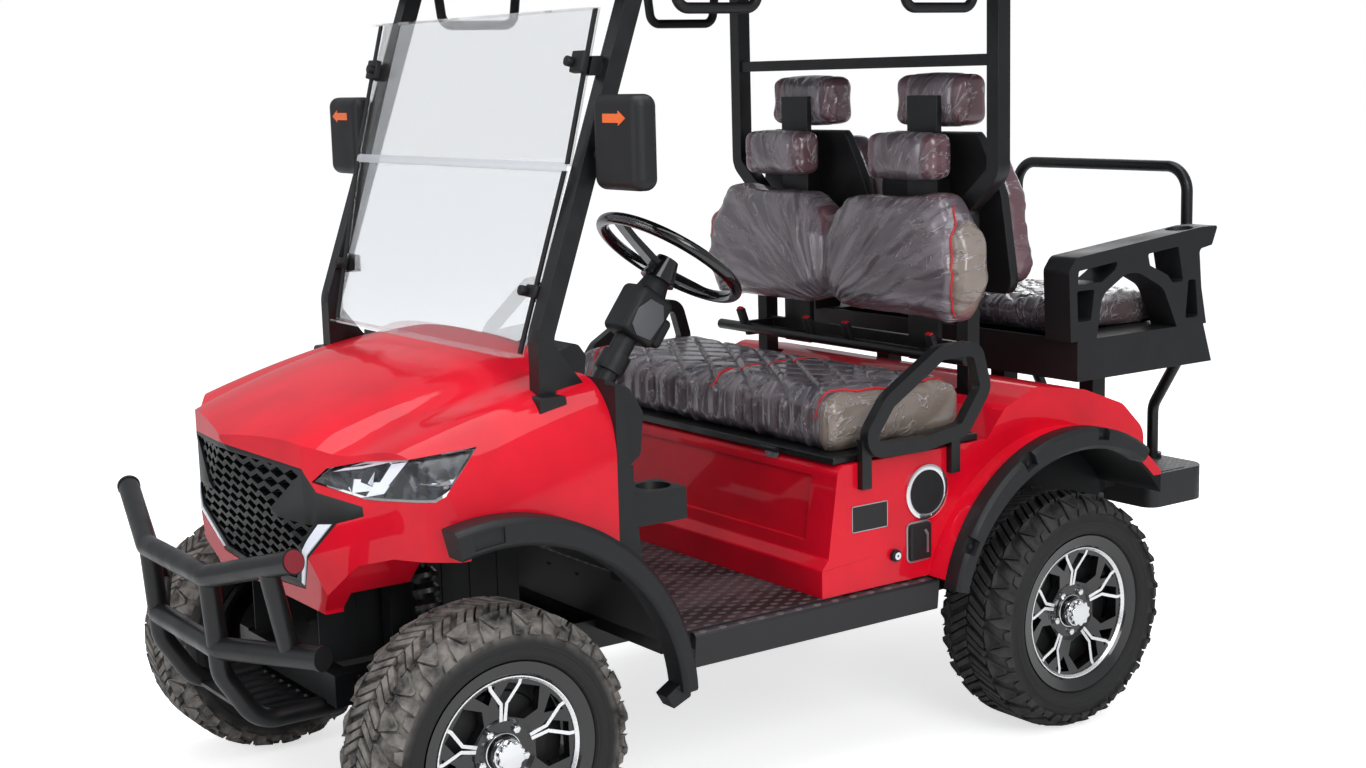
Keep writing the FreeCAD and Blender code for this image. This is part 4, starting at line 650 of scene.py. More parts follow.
def slab(name, outline, place, way):
    """A flat outline whose points are set by place and pulled to a thickness along way."""
    return pull(from_outline(name, [place(a, b) for a, b in outline]), way)


def rectangle(a0, b0, a1, b1):
    return [(a0, b0), (a1, b0), (a1, b1), (a0, b1)]


def spun(name, profile, steps):
    """A profile of (y, radius) points in millimetres, spun round the wheel's axle."""
    made = from_outline(name, [Vector((0, mm(y), mm(r))) for y, r in profile], filled=False)
    edit(made, lambda: bpy.ops.mesh.spin(steps=steps, angle=math.tau, center=(0, 0, 0), axis=(0, 1, 0)))
    edit(made, lambda: bpy.ops.mesh.remove_doubles(threshold=mm(0.05)),
         lambda: bpy.ops.mesh.normals_make_consistent(inside=False))
    return made


# %% [markdown]
# The off-road tyre is a carcass with a deep tread: on each side of the middle run three diagonal bars,
# then a triangular block with a pocket, then a smaller one over the shoulder. One pitch is modelled
# flat, as an unrolled strip, which is easy to draw and check. It is repeated 24 times and then rolled
# round the carcass by moving its points.

# %% Tyre sizes and the rolling rule
TYRE_RADIUS, TREAD_DEEP, PITCHES = 293.0, 13.0, 24
PITCH = math.tau * TYRE_RADIUS / PITCHES
SHOULDER_Y, SHOULDER_ROUND = 68.0, 40.0
FLAT_RADIUS = TYRE_RADIUS - TREAD_DEEP


def on_wheel(radius, turn, y):
    """A place on a wheel from its distance to the axle, its turn and its place along the axle."""
    return Vector((mm(radius) * math.sin(turn), mm(y), mm(radius) * math.cos(turn)))


def rolled(along, across, height):
    """A place on the tyre from its place on the unrolled tread, in millimetres."""
    side = 1 if across >= 0 else -1
    width = abs(across)
    if width <= SHOULDER_Y:
        y, radius = width, FLAT_RADIUS + height
    else:
        lean = (width - SHOULDER_Y) / SHOULDER_ROUND
        y = SHOULDER_Y + (SHOULDER_ROUND + height) * math.sin(lean)
        radius = FLAT_RADIUS - SHOULDER_ROUND + (SHOULDER_ROUND + height) * math.cos(lean)
    return on_wheel(radius, along / TYRE_RADIUS, side * y)


# %% [markdown]
# The blocks are drawn on the flat strip: s runs round the tyre and w across it. Each is an outline
# pulled up to its height. The triangles get their pocket by an inset that is pushed back down.

# %% One pitch of tread blocks
BLOCK_FOOT = 2  # millimetres that a block reaches into the carcass


def tread_block(outline, height, pocket=0.0):
    made = from_outline("block", [Vector((mm(s), mm(w), mm(-BLOCK_FOOT))) for s, w in outline])
    pull(made, (0, 0, mm(height + BLOCK_FOOT)))
    if pocket:
        edit_one_face(made, lambda faces: max(faces, key=lambda face: face.center.z))
        bpy.ops.mesh.inset(thickness=mm(pocket))
        bpy.ops.transform.translate(value=(0, 0, -mm(height * 0.75)))
        bpy.ops.object.mode_set(mode="OBJECT")
    return made


def bar(start):
    """A diagonal bar of the middle rows, cut in four along its length so that it rolls smoothly."""
    steps = [(start + 0.62 * w, w) for w in (4, 22, 40, 57)]
    return steps + [(s + 14, w - 3) for s, w in reversed(steps)]


blocks = [tread_block(bar(start), TREAD_DEEP) for start in (-6, 16, 38)]
blocks.append(tread_block([(-8, 62), (14, 60), (44, 66), (30, 99), (20, 100)], TREAD_DEEP, 7.5))
blocks.append(tread_block([(46, 70), (60, 92), (66, 118), (40, 118), (34, 104)], 10, 7))
blocks.append(tread_block([(-2, 104), (18, 106), (26, 120), (-8, 120)], 8))
one_side = joined("tread_pitch", blocks)
round_edges(one_side, 1.2, 1, 30)
other_side = copied(one_side, "tread_pitch_inner")
for corner in other_side.data.vertices:
    corner.co = Vector((corner.co.x + mm(PITCH / 2), -corner.co.y, corner.co.z))
edit(other_side, lambda: bpy.ops.mesh.flip_normals())
tread_strip = joined("tread_strip", [one_side, other_side])
use(tread_strip, "ARRAY", count=PITCHES, use_relative_offset=False, use_constant_offset=True,
    constant_offset_displace=(mm(PITCH), 0, 0))
for corner in tread_strip.data.vertices:
    corner.co = rolled(corner.co.x * 1000, corner.co.y * 1000, corner.co.z * 1000)
edit(tread_strip, lambda: bpy.ops.mesh.normals_make_consistent(inside=False))
print("tread faces", len(tread_strip.data.polygons))

# %% [markdown]
# The carcass is one closed profile, spun round the axle in 96 steps: tread, rounded shoulder, bulging
# sidewall with two moulded rings, and the bead that grips the rim.

# %% Tyre carcass
half_profile = [(0, 280)]
for k in range(0, 7):
    lean = math.pi / 2 * k / 6
    half_profile.append((SHOULDER_Y + SHOULDER_ROUND * math.sin(lean),
                         FLAT_RADIUS - SHOULDER_ROUND + SHOULDER_ROUND * math.cos(lean)))
half_profile += [(111.5, 233), (113.2, 231), (113.2, 227), (111.6, 225), (112.5, 214), (109, 206), (107.5, 205),
                 (106.5, 202), (100, 197.5), (93, 197), (91.5, 190), (91.5, 181)]
carcass = spun("carcass", [(-y, r) for y, r in reversed(half_profile[1:])] + half_profile, 96)
print("carcass faces", len(carcass.data.polygons))


def mark_tread(piece, low=236.0, high=262.0):
    """Store how far each point is up the tread, for the dust in the finish."""
    store = piece.data.attributes.new("tread", "FLOAT", "POINT")
    for corner, value in zip(piece.data.vertices, store.data):
        radius = math.hypot(corner.co.x, corner.co.z) * 1000
        value.value = min(1.0, max(0.0, (radius - low) / (high - low)))


tyre_form = joined("tyre_form", [carcass, tread_strip])
mark_tread(tyre_form)

# %% [markdown]
# The alloy rim has five arms that split in two. Its black casting is the engineering model's own. The
# face of each arm was skimmed bright on a lathe, so two narrow strips run side by side from the hub,
# part half-way out and turn straight into the ring. They are drawn once on the dished face, then
# copied round.

# %% Bright strips of the rim
HUB_FACE_Y, HUB_FACE_RADIUS, FACE_SLOPE = 70.0, 74, 14.5 / 84
ARM_TURN = 72


def on_face(radius, degrees, proud=0.0):
    """A place on the rim's dished face."""
    return on_wheel(radius, math.radians(degrees), HUB_FACE_Y + (radius - HUB_FACE_RADIUS) * FACE_SLOPE + proud)


def strip(route, wide):
    """A flat strip along (radius, sideways) points of the wheel's face, both in millimetres."""
    left, right_side = [], []
    for k, (r, s) in enumerate(route):
        r0, s0 = route[max(k - 1, 0)]
        r1, s1 = route[min(k + 1, len(route) - 1)]
        way = Vector((s1 - s0, r1 - r0)).normalized()
        for edge, sign in ((left, -1), (right_side, 1)):
            place = (s + sign * way.y * wide / 2, r - sign * way.x * wide / 2)
            reach = math.hypot(*place)
            edge.append(on_face(reach, math.degrees(math.atan2(*place)), 0.2))
    return pull(from_outline("strip", left + right_side[::-1]), (0, mm(1.2), 0))


arm_route = [(66, 4.6), (104, 6.2), (142, 33), (157, 37)]
arms = []
for k in range(5):
    for side in (1, -1):
        made = strip([(r, side * s) for r, s in arm_route], 7.6)
        for corner in made.data.vertices:
            corner.co = Matrix.Rotation(math.radians(ARM_TURN * k), 3, "Y") @ corner.co
        arms.append(made)
ring = spun("ring", [(85.2, 157), (92.0, 164), (93.2, 164), (93.4, 161.5), (88.2, 156.5)], 96)
bright_form = joined("bright_form", [ring] + arms)
print("bright faces", len(bright_form.data.polygons))

# %% [markdown]
# The hub is recessed and carries a chromed cap: a collar with a scalloped top, like a bottle cap. The
# cap's side is drawn as an outline with ten shallow scallops, pulled out and rounded. Five wheel nuts
# stand round it.

# %% Hub cap and wheel nuts
OUTWARD = (0, 1, 0)
scallops = []
for k in range(80):
    angle = math.tau * k / 80
    scallops.append(on_wheel(30 + 2.4 * math.cos(10 * angle), angle, 88))
cap_top = pull(from_outline("cap_top", scallops), (0, mm(14), 0))
round_edges(cap_top, 2.5, 3)
cap_collar = disc("cap_collar", on_wheel(0, 0, 62), OUTWARD, 34, 26)
cap_foot = disc("cap_foot", on_wheel(0, 0, 60), OUTWARD, 41, 8)
for part in (cap_collar, cap_foot):
    round_edges(part, 2)
nuts = []
for k in range(5):
    nut = disc("nut", on_wheel(53, math.radians(ARM_TURN * k + 36), 63), OUTWARD, 9, 9, 6)
    round_edges(nut, 1.5)
    nuts.append(nut)
cap_form = joined("cap_form", [cap_top, cap_collar, cap_foot] + nuts)
print("cap faces", len(cap_form.data.polygons))

# %% [markdown]
# Behind the arms one looks at the dark face of the brake drum. It is a shallow stepped disc, spun from
# its profile, and it keeps daylight from showing through the wheel.

# %% Brake drum faces
drum_form = spun("drum_form", [(36, 60), (36, 118), (30, 122), (30, 158), (27, 158), (27, 119), (33, 115),
                               (33, 60)], 48)
print("drum faces", len(drum_form.data.polygons))

# %% [markdown]
# Each wheel gets its own copies, moved to its axle. On the right side of the cart they are turned half
# round about the upright, so that the bright face looks outward on both sides.

# %% The four wheels
FRONT_TRACK, REAR_TRACK = 555, 585
wheel_places = {
    "front_left": (WHEELBASE, FRONT_TRACK, False, dusty_tread),
    "front_right": (WHEELBASE, -FRONT_TRACK, True, dusty_tread),
    "rear_left": (0, REAR_TRACK, False, dark_tread), "rear_right": (0, -REAR_TRACK, True, dark_tread),
}
for name, (x, y, turned, tread_look) in wheel_places.items():
    half_turn = Matrix.Rotation(math.pi if turned else 0, 3, "Z")
    for form, kind, finish, slot in ((tyre_form, "tread", tread_look, "tyre_rubber"),
                                     (bright_form, "bright_face", machined, "alloy_rim"),
                                     (drum_form, "brake_drum", cast_iron, "alloy_rim"),
                                     (cap_form, "hub_cap", chrome, "alloy_rim")):
        made = copied(form, kind + "_" + name)
        for corner in made.data.vertices:
            corner.co = half_turn @ corner.co + at(x, y, TYRE_RADIUS)
        settle(made, finish, "wheel_" + name)
        if kind == "tread":
            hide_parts("tyre_" + name)
for form in (tyre_form, bright_form, drum_form, cap_form):
    bpy.data.objects.remove(form)

# %% [markdown]
# A lamp is a clear cover over a smoked bowl, with white light guides between them. The cover keeps the
# engineering model's shape. Its loose parts are told apart by where they are: two covers and two light
# strips in the nose, two tail lamps at the back.

# %% Lamp covers, bowls, light strips and tail lamps
BOWL_DEPTH, COVER_REACH_Y = 7, 0.4
lamp_parts = bodies_copy("lamps", "lamp_part")
only(lamp_parts)
bpy.ops.object.mode_set(mode="EDIT")
bpy.ops.mesh.select_all(action="SELECT")
bpy.ops.mesh.separate(type="LOOSE")
bpy.ops.object.mode_set(mode="OBJECT")
covers, light_strips, tail_lamps = [], [], []
for part in list(bpy.context.selected_objects):
    if max(corner.co.x for corner in part.data.vertices) < 0:
        tail_lamps.append(part)
    elif max(abs(corner.co.y) for corner in part.data.vertices) > COVER_REACH_Y:
        covers.append(part)
    else:
        light_strips.append(part)
print("covers", len(covers), "strips", len(light_strips), "tail lamps", len(tail_lamps))

bowls = [copied(cover, "bowl") for cover in covers]
for bowl in bowls:
    use(bowl, "DISPLACE", strength=-mm(BOWL_DEPTH), mid_level=0.0, direction="NORMAL")
lamp_groups = (("lamp_bowls", bowls, lamp_bowl), ("lamp_covers", covers, lamp_cover),
               ("light_strips", light_strips, lamp_blade), ("tail_lamps", tail_lamps, reflector_red))
for name, parts, finish in lamp_groups:
    settle(joined(name, parts), finish, smooth=25, at_origin=False)
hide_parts("lamps")

# %% [markdown]
# The light guides are placed where the camera sees them in the photo: each corner is aimed through the
# lens of the camera and set where that line meets the cover, a few millimetres inside it. The right
# lamp gets the mirror image.

# %% Light guides of the lamps
IMAGE_HEIGHT, TO_THE_LAMPS = 768, 2.3
GUIDE_INSIDE, GUIDE_DEEP = 2.5, 4


def aimed(px, py):
    """Direction from the camera through a point of the 1366 by 768 picture."""
    return (look * focal_pixels + right * (px - image_width / 2) - up * (py - IMAGE_HEIGHT / 2)).normalized()


def seen_on(tree, px, py, inside_mm):
    """Where the line through a point of the picture meets a surface, set back along the line."""
    way = aimed(px, py)
    hit = tree.ray_cast(camera_place, way)[0]
    if hit is None:
        hit = tree.find_nearest(camera_place + way * TO_THE_LAMPS)[0]
    return hit + way * mm(inside_mm)


def surface_of(piece):
    """A piece's faces in a form that lines can be cast on."""
    shape = bmesh.new()
    shape.from_mesh(piece.data)
    found = BVHTree.FromBMesh(shape)
    shape.free()
    return found


cover_surface = surface_of(covers[0])
guide_outlines = [
    [(332.7, 471.8), (368, 461.0), (409.7, 453.0), (414.5, 454.3), (406.7, 462.7), (383.6, 491.8),
     (373.5, 494.8), (379.4, 483.3), (391.5, 464.5), (389.0, 462.5), (360.6, 468.8)],
    [(340.0, 496.0), (346.0, 478.5), (354.5, 476.0), (348.5, 488.2), (352.1, 493.0), (347.3, 496.7)],
    [(354.5, 496.7), (360.6, 482.1), (363.0, 471.2), (375.2, 470.6), (367.9, 483.3), (372.7, 487.0),
     (365.5, 497.3)],
    [(419.4, 456.1), (439.4, 450.0), (474.5, 445.8), (481.2, 445.2), (478.2, 461.5), (467.3, 479.7),
     (453.9, 488.2), (439.4, 489.4), (415.2, 487.6), (419.4, 484.5), (438.2, 486.4), (451.5, 484.5),
     (462.4, 477.3), (473.3, 461.5), (474.5, 449.4), (440.6, 452.4)],
]
inward = aimed(390, 470) * mm(GUIDE_DEEP)
guides = [slab("guide", outline, lambda px, py: seen_on(cover_surface, px, py, GUIDE_INSIDE), inward)
          for outline in guide_outlines]
near_guides = joined("light_guides_left", guides)
far_guides = mirrored(near_guides, "light_guides_right")
for guide in (near_guides, far_guides):
    settle(guide, lamp_blade, smooth=25, at_origin=False)

# %% [markdown]
# Small pieces of the front end: dark red reflectors cap the ends of the bumper's top tube, and the
# flares have bolts in their pockets.

# %% Reflectors and flare bolts
BOLT_REACH = 433  # from the arch's axis to the pocket in the flare's band
caps, bolts = [], []
for side in (1, -1):
    way = Vector((-65, side * 286, 76)).normalized()
    caps.append(disc("reflector", at(1957, side * 458, 716) + way * mm(5.5), way, 23, 2.5))
    for angle in (30.5, 64.5, 98.5):
        lean = math.radians(angle)
        centre = at(BOLT_REACH * math.cos(lean), side * 679.5, 305 + BOLT_REACH * math.sin(lean))
        bolts.append(disc("washer", centre, (0, side, 0), 9, 2, 20))
        bolts.append(disc("head", centre + Vector((0, side * mm(2), 0)), (0, side, 0), 6.5, 5, 6))
settle(joined("bumper_reflectors", caps), reflector_red)
settle(joined("flare_bolts", bolts), cast_iron)

# %% [markdown]
# The windshield is two clear panes, joined by a frosted hinge strip. Black strips grip their sides,
# two clips hold the upper pane when it is up, and two knobbed latches clamp the lower one. Each sits
# on the slanted plane of the glass.

# %% Windshield strips, clips and latches
GLASS_FOOT_X, GLASS_FOOT_Z, GLASS_RAKE = 1412.0, 1057.0, 0.2603
EDGE_STRIP_WIDE = 14
glass_normal = Vector((1, 0, GLASS_RAKE)).normalized()


def on_glass(y, high, proud=5.3):
    """A place on the glass from its y and height, standing proud of the pane's middle."""
    return at(GLASS_FOOT_X - GLASS_RAKE * (high - GLASS_FOOT_Z), y, high) + glass_normal * mm(proud)


strips = []
for side in (1, -1):
    for (y0, z0), (y1, z1) in ([(444, 1062), (488, 1436)], [(494, 1450), (494, 1764)]):
        outline = [(y0 - EDGE_STRIP_WIDE, z0), (y1 - EDGE_STRIP_WIDE, z1), (y1, z1), (y0, z0)]
        strips.append(slab("strip", outline, lambda y, z: on_glass(side * y, z), glass_normal * mm(4)))
settle(joined("glass_strips", strips), moulded_black)

hinge = slab("glass_hinge", rectangle(-486, 1434, 486, 1453), lambda y, z: on_glass(y, z, 5.6),
             glass_normal * mm(3))
round_edges(hinge, 1)
settle(hinge, hinge_strip)

fittings = []
for y, z, wide, tall in ((472, 1655, 46, 44), (-472, 1655, 46, 44), (455, 1190, 40, 26), (-455, 1190, 40, 26)):
    clip = slab("clip", rectangle(y - wide / 2, z - tall / 2, y + wide / 2, z + tall / 2), on_glass,
                glass_normal * mm(16))
    round_edges(clip, 3)
    knob = disc("knob", on_glass(y - math.copysign(16, y), z - 2, 21), glass_normal, 11, 16, 20)
    round_edges(knob, 2.5)
    fittings += [clip, knob]
settle(joined("glass_clips", fittings), moulded_black)

# %% [markdown]
# The driver's controls: the column's grey side panels and the round end of the stalk. The mirrors carry
# an orange blinker arrow on the side that faces forward.

# %% Column panel, stalk switch and mirror arrows
TILT = math.radians(35.9)
wheel_centre = at(912, 262, 1213)
column_turn = Matrix.Rotation(-TILT, 3, "Y")


def on_column(x, y, z):
    """A place in the column's own measures, its axis upright and the wheel's centre at the origin."""
    return wheel_centre + column_turn @ Vector((mm(x), mm(y), mm(z)))


panel_outline = [(-30, -196), (10, -204), (34, -188), (38, -150), (20, -116), (-18, -112), (-38, -140)]
panels = []
for side in (1, -1):
    panels.append(slab("panel", panel_outline, lambda x, z: on_column(x, side * 45.5, z),
                       column_turn @ Vector((0, side * mm(3), 0))))
    round_edges(panels[-1], 1.5)
settle(joined("column_panels", panels), grey_panel)

stalk_way = Vector((-54, -82, 24)).normalized()
switch = disc("stalk_switch", on_column(-84, -122, -116), column_turn @ stalk_way, 13, 20, 24)
round_edges(switch, 3)
settle(switch, moulded_black)

arrow_outline = [(-44, -9), (12, -9), (12, -15), (38, 0), (12, 15), (12, 9), (-44, 9)]
arrows = [slab("arrow", arrow_outline, lambda a, b: at(1291.6, side * (632 + a), 1545 + b), (mm(1.5), 0, 0))
          for side in (1, -1)]
settle(joined("mirror_arrows", arrows), arrow_orange)

# %% [markdown]
# Both sides of the seat base carry a loudspeaker with a bright ring and six bolts. The driver's side
# also has a blank plate, the key switch and the charge port, whose frame and contacts show when its
# door is open.

# %% Speakers
BODY_SIDE = 590
for side, word in ((1, "left"), (-1, "right")):
    out = Vector((0, side, 0))
    centre = at(424, side * 589.5, 648)
    ring = disc("speaker_ring_" + word, centre, out, 66, 6.5, 72, 52)
    round_edges(ring, 1.2, angle=60)
    ring_bolts = [ring]
    for k in range(6):
        turn = math.tau * k / 6 + 0.3
        place = centre + Vector((mm(59 * math.cos(turn)), side * mm(6), mm(59 * math.sin(turn))))
        ring_bolts.append(disc("bolt", place, out, 3, 1.6, 12))
    settle(joined("speaker_ring_" + word, ring_bolts), chrome)
    settle(disc("speaker_mesh_" + word, at(424, side * 590.5, 648), out, 53, 2.5, 72), speaker_mesh)

# %% Plate and key switch
key = disc("key_switch", at(525, BODY_SIDE, 512), OUTWARD, 14, 12, 32)
round_edges(key, 2)
settle(key, moulded_black)
settle(disc("key_face", at(525, 601.5, 512), OUTWARD, 9, 3, 32, 3), chrome)

plate_corners = rectangle(546, 585, 652, 645)
settle(slab("blank_plate", plate_corners, lambda x, z: at(x, 590.1, z), (0, mm(1), 0)), satin_black)
frames = []
for (x0, z0), (x1, z1) in zip(plate_corners, plate_corners[1:] + plate_corners[:1]):
    edge = rectangle(min(x0, x1) - 1, min(z0, z1) - 1, max(x0, x1) + 1, max(z0, z1) + 1)
    frames.append(slab("edge", edge, lambda x, z: at(x, 590.2, z), (0, mm(1.6), 0)))
settle(joined("plate_frame", frames), zinc_plate)


# %% Charge port
def rounded_outline(x0, x1, z0, z1, radius, steps=6):
    """A rectangle with round corners, as a list of points."""
    points = []
    for cx, cz, start in ((x1 - radius, z1 - radius, 0), (x0 + radius, z1 - radius, 90),
                          (x0 + radius, z0 + radius, 180), (x1 - radius, z0 + radius, 270)):
        for k in range(steps + 1):
            turn = math.radians(start + 90 * k / steps)
            points.append((cx + radius * math.cos(turn), cz + radius * math.sin(turn)))
    return points


door_frame = from_outline("charge_port_frame", [at(x, 590.1, z) for x, z in
                                                rounded_outline(410, 488, 484, 582, 16)])
opened(door_frame, 6.5, at(449, BODY_SIDE, 533))
pull(door_frame, (0, mm(3), 0))
round_edges(door_frame, 1)
settle(door_frame, zinc_plate)
settle(slab("charge_port", rounded_outline(418, 480, 492, 574, 10), lambda x, z: at(x, 590.05, z),
            (0, mm(0.08), 0)), satin_black)
contacts = [disc("contact_ring", at(449, 590.14, 533), OUTWARD, 24, 0.08, 40, 20)]
for k in range(3):
    turn = math.tau * k / 3
    contacts.append(disc("contact", at(449 + 10 * math.sin(turn), 590.14, 533 + 10 * math.cos(turn)),
                         OUTWARD, 4, 0.08, 16))
settle(joined("charge_contacts", contacts), zinc_plate)
grip_outline = [(428, 506), (434, 506), (434, 548), (442, 560), (436, 563), (428, 552)]
settle(slab("charge_door_grip", grip_outline, lambda x, z: at(x, 602, z), (0, mm(1.5), 0)), zinc_plate,
       body="charge_flap")

# %% [markdown]
# Two zinc hinge tabs show below the bench's front edge, over the black trim strip. Each is a thin
# plate with two screw heads.

# %% Bench hinge tabs
tabs = []
for y in (-350, 350):
    outline = [(y - 26, 747.5), (y + 26, 747.5), (y + 26, 742), (y + 18, 731), (y - 18, 731), (y - 26, 742)]
    tabs.append(slab("tab", outline, lambda a, b: at(691.5, a, b), (mm(2), 0, 0)))
    for dy in (-10, 10):
        tabs.append(disc("screw", at(693.4, y + dy, 739), (1, 0, 0), 3.4, 1.8, 12))
settle(joined("hinge_tabs", tabs), zinc_plate)

# %% [markdown]
# The belt bar behind the bench carries four buckles with red buttons, leaning forward out of the gap.

# %% Belt buckles
BUCKLE_TALL = 52
buckle_way = Vector((0.35, 0, 1)).normalized()
across = Vector((0, 1, 0))
forward_way = across.cross(buckle_way)
buckles, buttons = [], []
for y in (-385, -95, 65, 385):
    low = at(205, y, 930)
    top = low + buckle_way * mm(BUCKLE_TALL)
    buckles.append(slab("buckle", rectangle(-13, -8, 13, 8),
                        lambda a, b: low + across * mm(a) + forward_way * mm(b), buckle_way * mm(BUCKLE_TALL)))
    round_edges(buckles[-1], 2.5)
    buttons.append(slab("button", rectangle(-9, -5, 9, 5),
                        lambda a, b: top + across * mm(a) + forward_way * mm(b), buckle_way * mm(4)))
settle(joined("belt_buckles", buckles), moulded_black)
settle(joined("buckle_buttons", buttons), piping_red)

# %% [markdown]
# Between the frame's rails and the hood hangs a black splash liner on each side. It closes the view
# through both front arches. Each is a thin moulded panel with upright ribs.

# %% Splash liners
liner_outline = [(1292, 403), (1785, 403), (1785, 545), (1768, 668), (1292, 668)]
liners = []
for side in (1, -1):
    inside_out = (0, side * mm(3), 0)
    liners.append(slab("liner", liner_outline, lambda x, z: at(x, side * 173, z), inside_out))
    for x in range(1340, 1760, 70):
        rib = rectangle(x, 412, x + 8, 655)
        liners.append(slab("rib", rib, lambda a, b: at(a, side * 175.5, b), inside_out))
settle(joined("splash_liners", liners), moulded_black)

# %% [markdown]
# Cushions are foam under stretched cover. A block with rounded edges never looks like one, because a
# real cushion crowns in the middle and pulls in along its sides. So each starts as a copy of the
# engineering model's plain pad, is remeshed evenly and blown up a little as cloth, and then seams are
# pressed in, at the places where the cover is sewn.

# %% Blow a pad up as cloth
def corner_array(mesh):
    flat = np.empty(len(mesh.vertices) * 3)
    mesh.vertices.foreach_get("co", flat)
    return flat.reshape(-1, 3)


def move_corners(piece, corners):
    piece.data.vertices.foreach_set("co", corners.ravel())
    piece.data.update()


def blown_up(piece, cap_mm, pressure=4.0, last=20):
    """Let the cover swell under pressure for a few frames, no point further than the cap."""
    rest = corner_array(piece.data)
    only(piece)
    cloth = piece.modifiers.new("cover", "CLOTH")
    cloth.settings.use_pressure = True
    cloth.settings.uniform_pressure_force = pressure
    cloth.settings.effector_weights.gravity = 0
    cloth.settings.quality = 4
    cloth.point_cache.frame_start = 1
    cloth.point_cache.frame_end = last
    for moment in range(1, last + 1):
        bpy.context.scene.frame_set(moment)
    shaped = piece.evaluated_get(bpy.context.evaluated_depsgraph_get())
    swollen = corner_array(shaped.data)
    piece.modifiers.remove(cloth)
    bpy.context.scene.frame_set(1)
    moved = swollen - rest
    length = np.linalg.norm(moved, axis=1, keepdims=True)
    move_corners(piece, rest + moved * np.minimum(1.0, mm(cap_mm) / np.maximum(length, 1e-9)))
    print(piece.name, "swelled up to", round(float(length.max()) * 1000, 1), "mm")


def padded_copy(node, name, voxel_mm, shrink_mm, cap_mm):
    """A node's pad: drawn in a little, remeshed, blown up, smoothed and made finer."""
    made = bodies_copy(node, name)
    use(made, "DISPLACE", strength=-mm(shrink_mm), mid_level=0.0, direction="NORMAL")
    use(made, "REMESH", mode="VOXEL", voxel_size=mm(voxel_mm))
    blown_up(made, cap_mm)
    use(made, "SMOOTH", factor=0.5, iterations=8)
    use(made, "SUBSURF", levels=1, render_levels=1)
    return made


# %% [markdown]
# A cover is shaped by moving its points along their normals: in along seams and quilting, out along
# folds of film. Only the points whose normal agrees with a given direction take part, so that the
# back and the underside stay plain.

# %% Seams, quilting and folds
def shaped_along_normals(piece, height_of, faces=None, gain=2.0):
    """Move each point along its normal by height_of(points), in metres, on the faces asked for."""
    corners = corner_array(piece.data)
    normals = np.array([tuple(vertex.normal) for vertex in piece.data.vertices])
    height = height_of(corners)
    if faces is not None:
        height *= np.clip((normals @ np.array(faces)) * gain, 0, 1)
    move_corners(piece, corners + normals * height[:, None])


def held_in(piece, low, high, back=(0, 0, 0), front=(0, 0, 0)):
    """Keep the points in a box, let out by these millimetres, where the pad stands by something."""
    lowest, highest = np.array(low) - np.array(back) / 1000, np.array(high) + np.array(front) / 1000
    move_corners(piece, np.clip(corner_array(piece.data), lowest, highest))


def distance_to_route(points, route):
    """Shortest distance from each 2-D point to a chain of straight runs."""
    best = np.full(len(points), 1e9)
    for start, end in zip(route[:-1], route[1:]):
        start, end = np.array(start), np.array(end)
        run = end - start
        share = np.clip(((points - start) @ run) / (run @ run), 0, 1)
        best = np.minimum(best, np.linalg.norm(points - start - share[:, None] * run, axis=1))
    return best


def press_seams(piece, axes, routes, deep_mm, wide_mm, faces=None):
    """Press seams along routes seen in two axes."""
    def groove(corners):
        away = np.min([distance_to_route(corners[:, axes], route) for route in routes], axis=0)
        return -np.exp(-(away / mm(wide_mm)) ** 2) * mm(deep_mm)
    shaped_along_normals(piece, groove, faces)


def quilted(piece, low, high, pitch_mm, deep_mm, faces, edge=0.02, groove_share=0.22, steep=0.6):
    """Press a diamond quilting into a region of the top, given by two corners in x and y."""
    def groove(corners):
        a, b = corners[:, 0], corners[:, 1]
        first, second = (np.abs(np.sin(math.pi * (a + way * steep * b) / mm(pitch_mm))) for way in (1, -1))
        inside = np.ones(len(corners))
        for place, start, end in zip((a, b), low, high):
            inside *= np.clip((place - start) / edge, 0, 1) * np.clip((end - place) / edge, 0, 1)
        return -np.exp(-(np.minimum(first, second) / groove_share) ** 2) * inside * mm(deep_mm)
    shaped_along_normals(piece, groove, faces)


def film_folds(piece, gather, axes, deep_mm, count, faces):
    """Raise long folds of film that run out from where it is gathered."""
    def ridges(corners):
        a, b = corners[:, axes[0]] - gather[0], corners[:, axes[1]] - gather[1]
        turn, reach = np.arctan2(b, a), np.hypot(a, b)
        wobble = 0.25 * np.sin(reach * 23 + turn * 7) + 0.2 * np.sin(reach * 41 - turn * 11)
        ridge = np.maximum(0, np.sin(turn * count + wobble * 3)) ** 3
        ridge += 0.6 * np.maximum(0, np.sin(turn * count * 1.7 + 2 + wobble * 4)) ** 4
        return ridge * np.clip(reach / 0.08, 0, 1) * mm(deep_mm)
    shaped_along_normals(piece, ridges, faces, 1.6)


# %% [markdown]
# The finish needs to know where the cover changes colour, so each zone is stored on the points. The
# piping is a real cord sewn into some of the seams, so it is a tube laid along them.

# %% Coloured zones and piping
def zone(piece, name, rule):
    """Store 1 on the points of a coloured zone of the cover and 0 elsewhere, for the finish."""
    store = piece.data.attributes.new(name, "FLOAT", "POINT")
    store.data.foreach_set("value", np.clip(rule(corner_array(piece.data)), 0, 1).astype(np.float32))


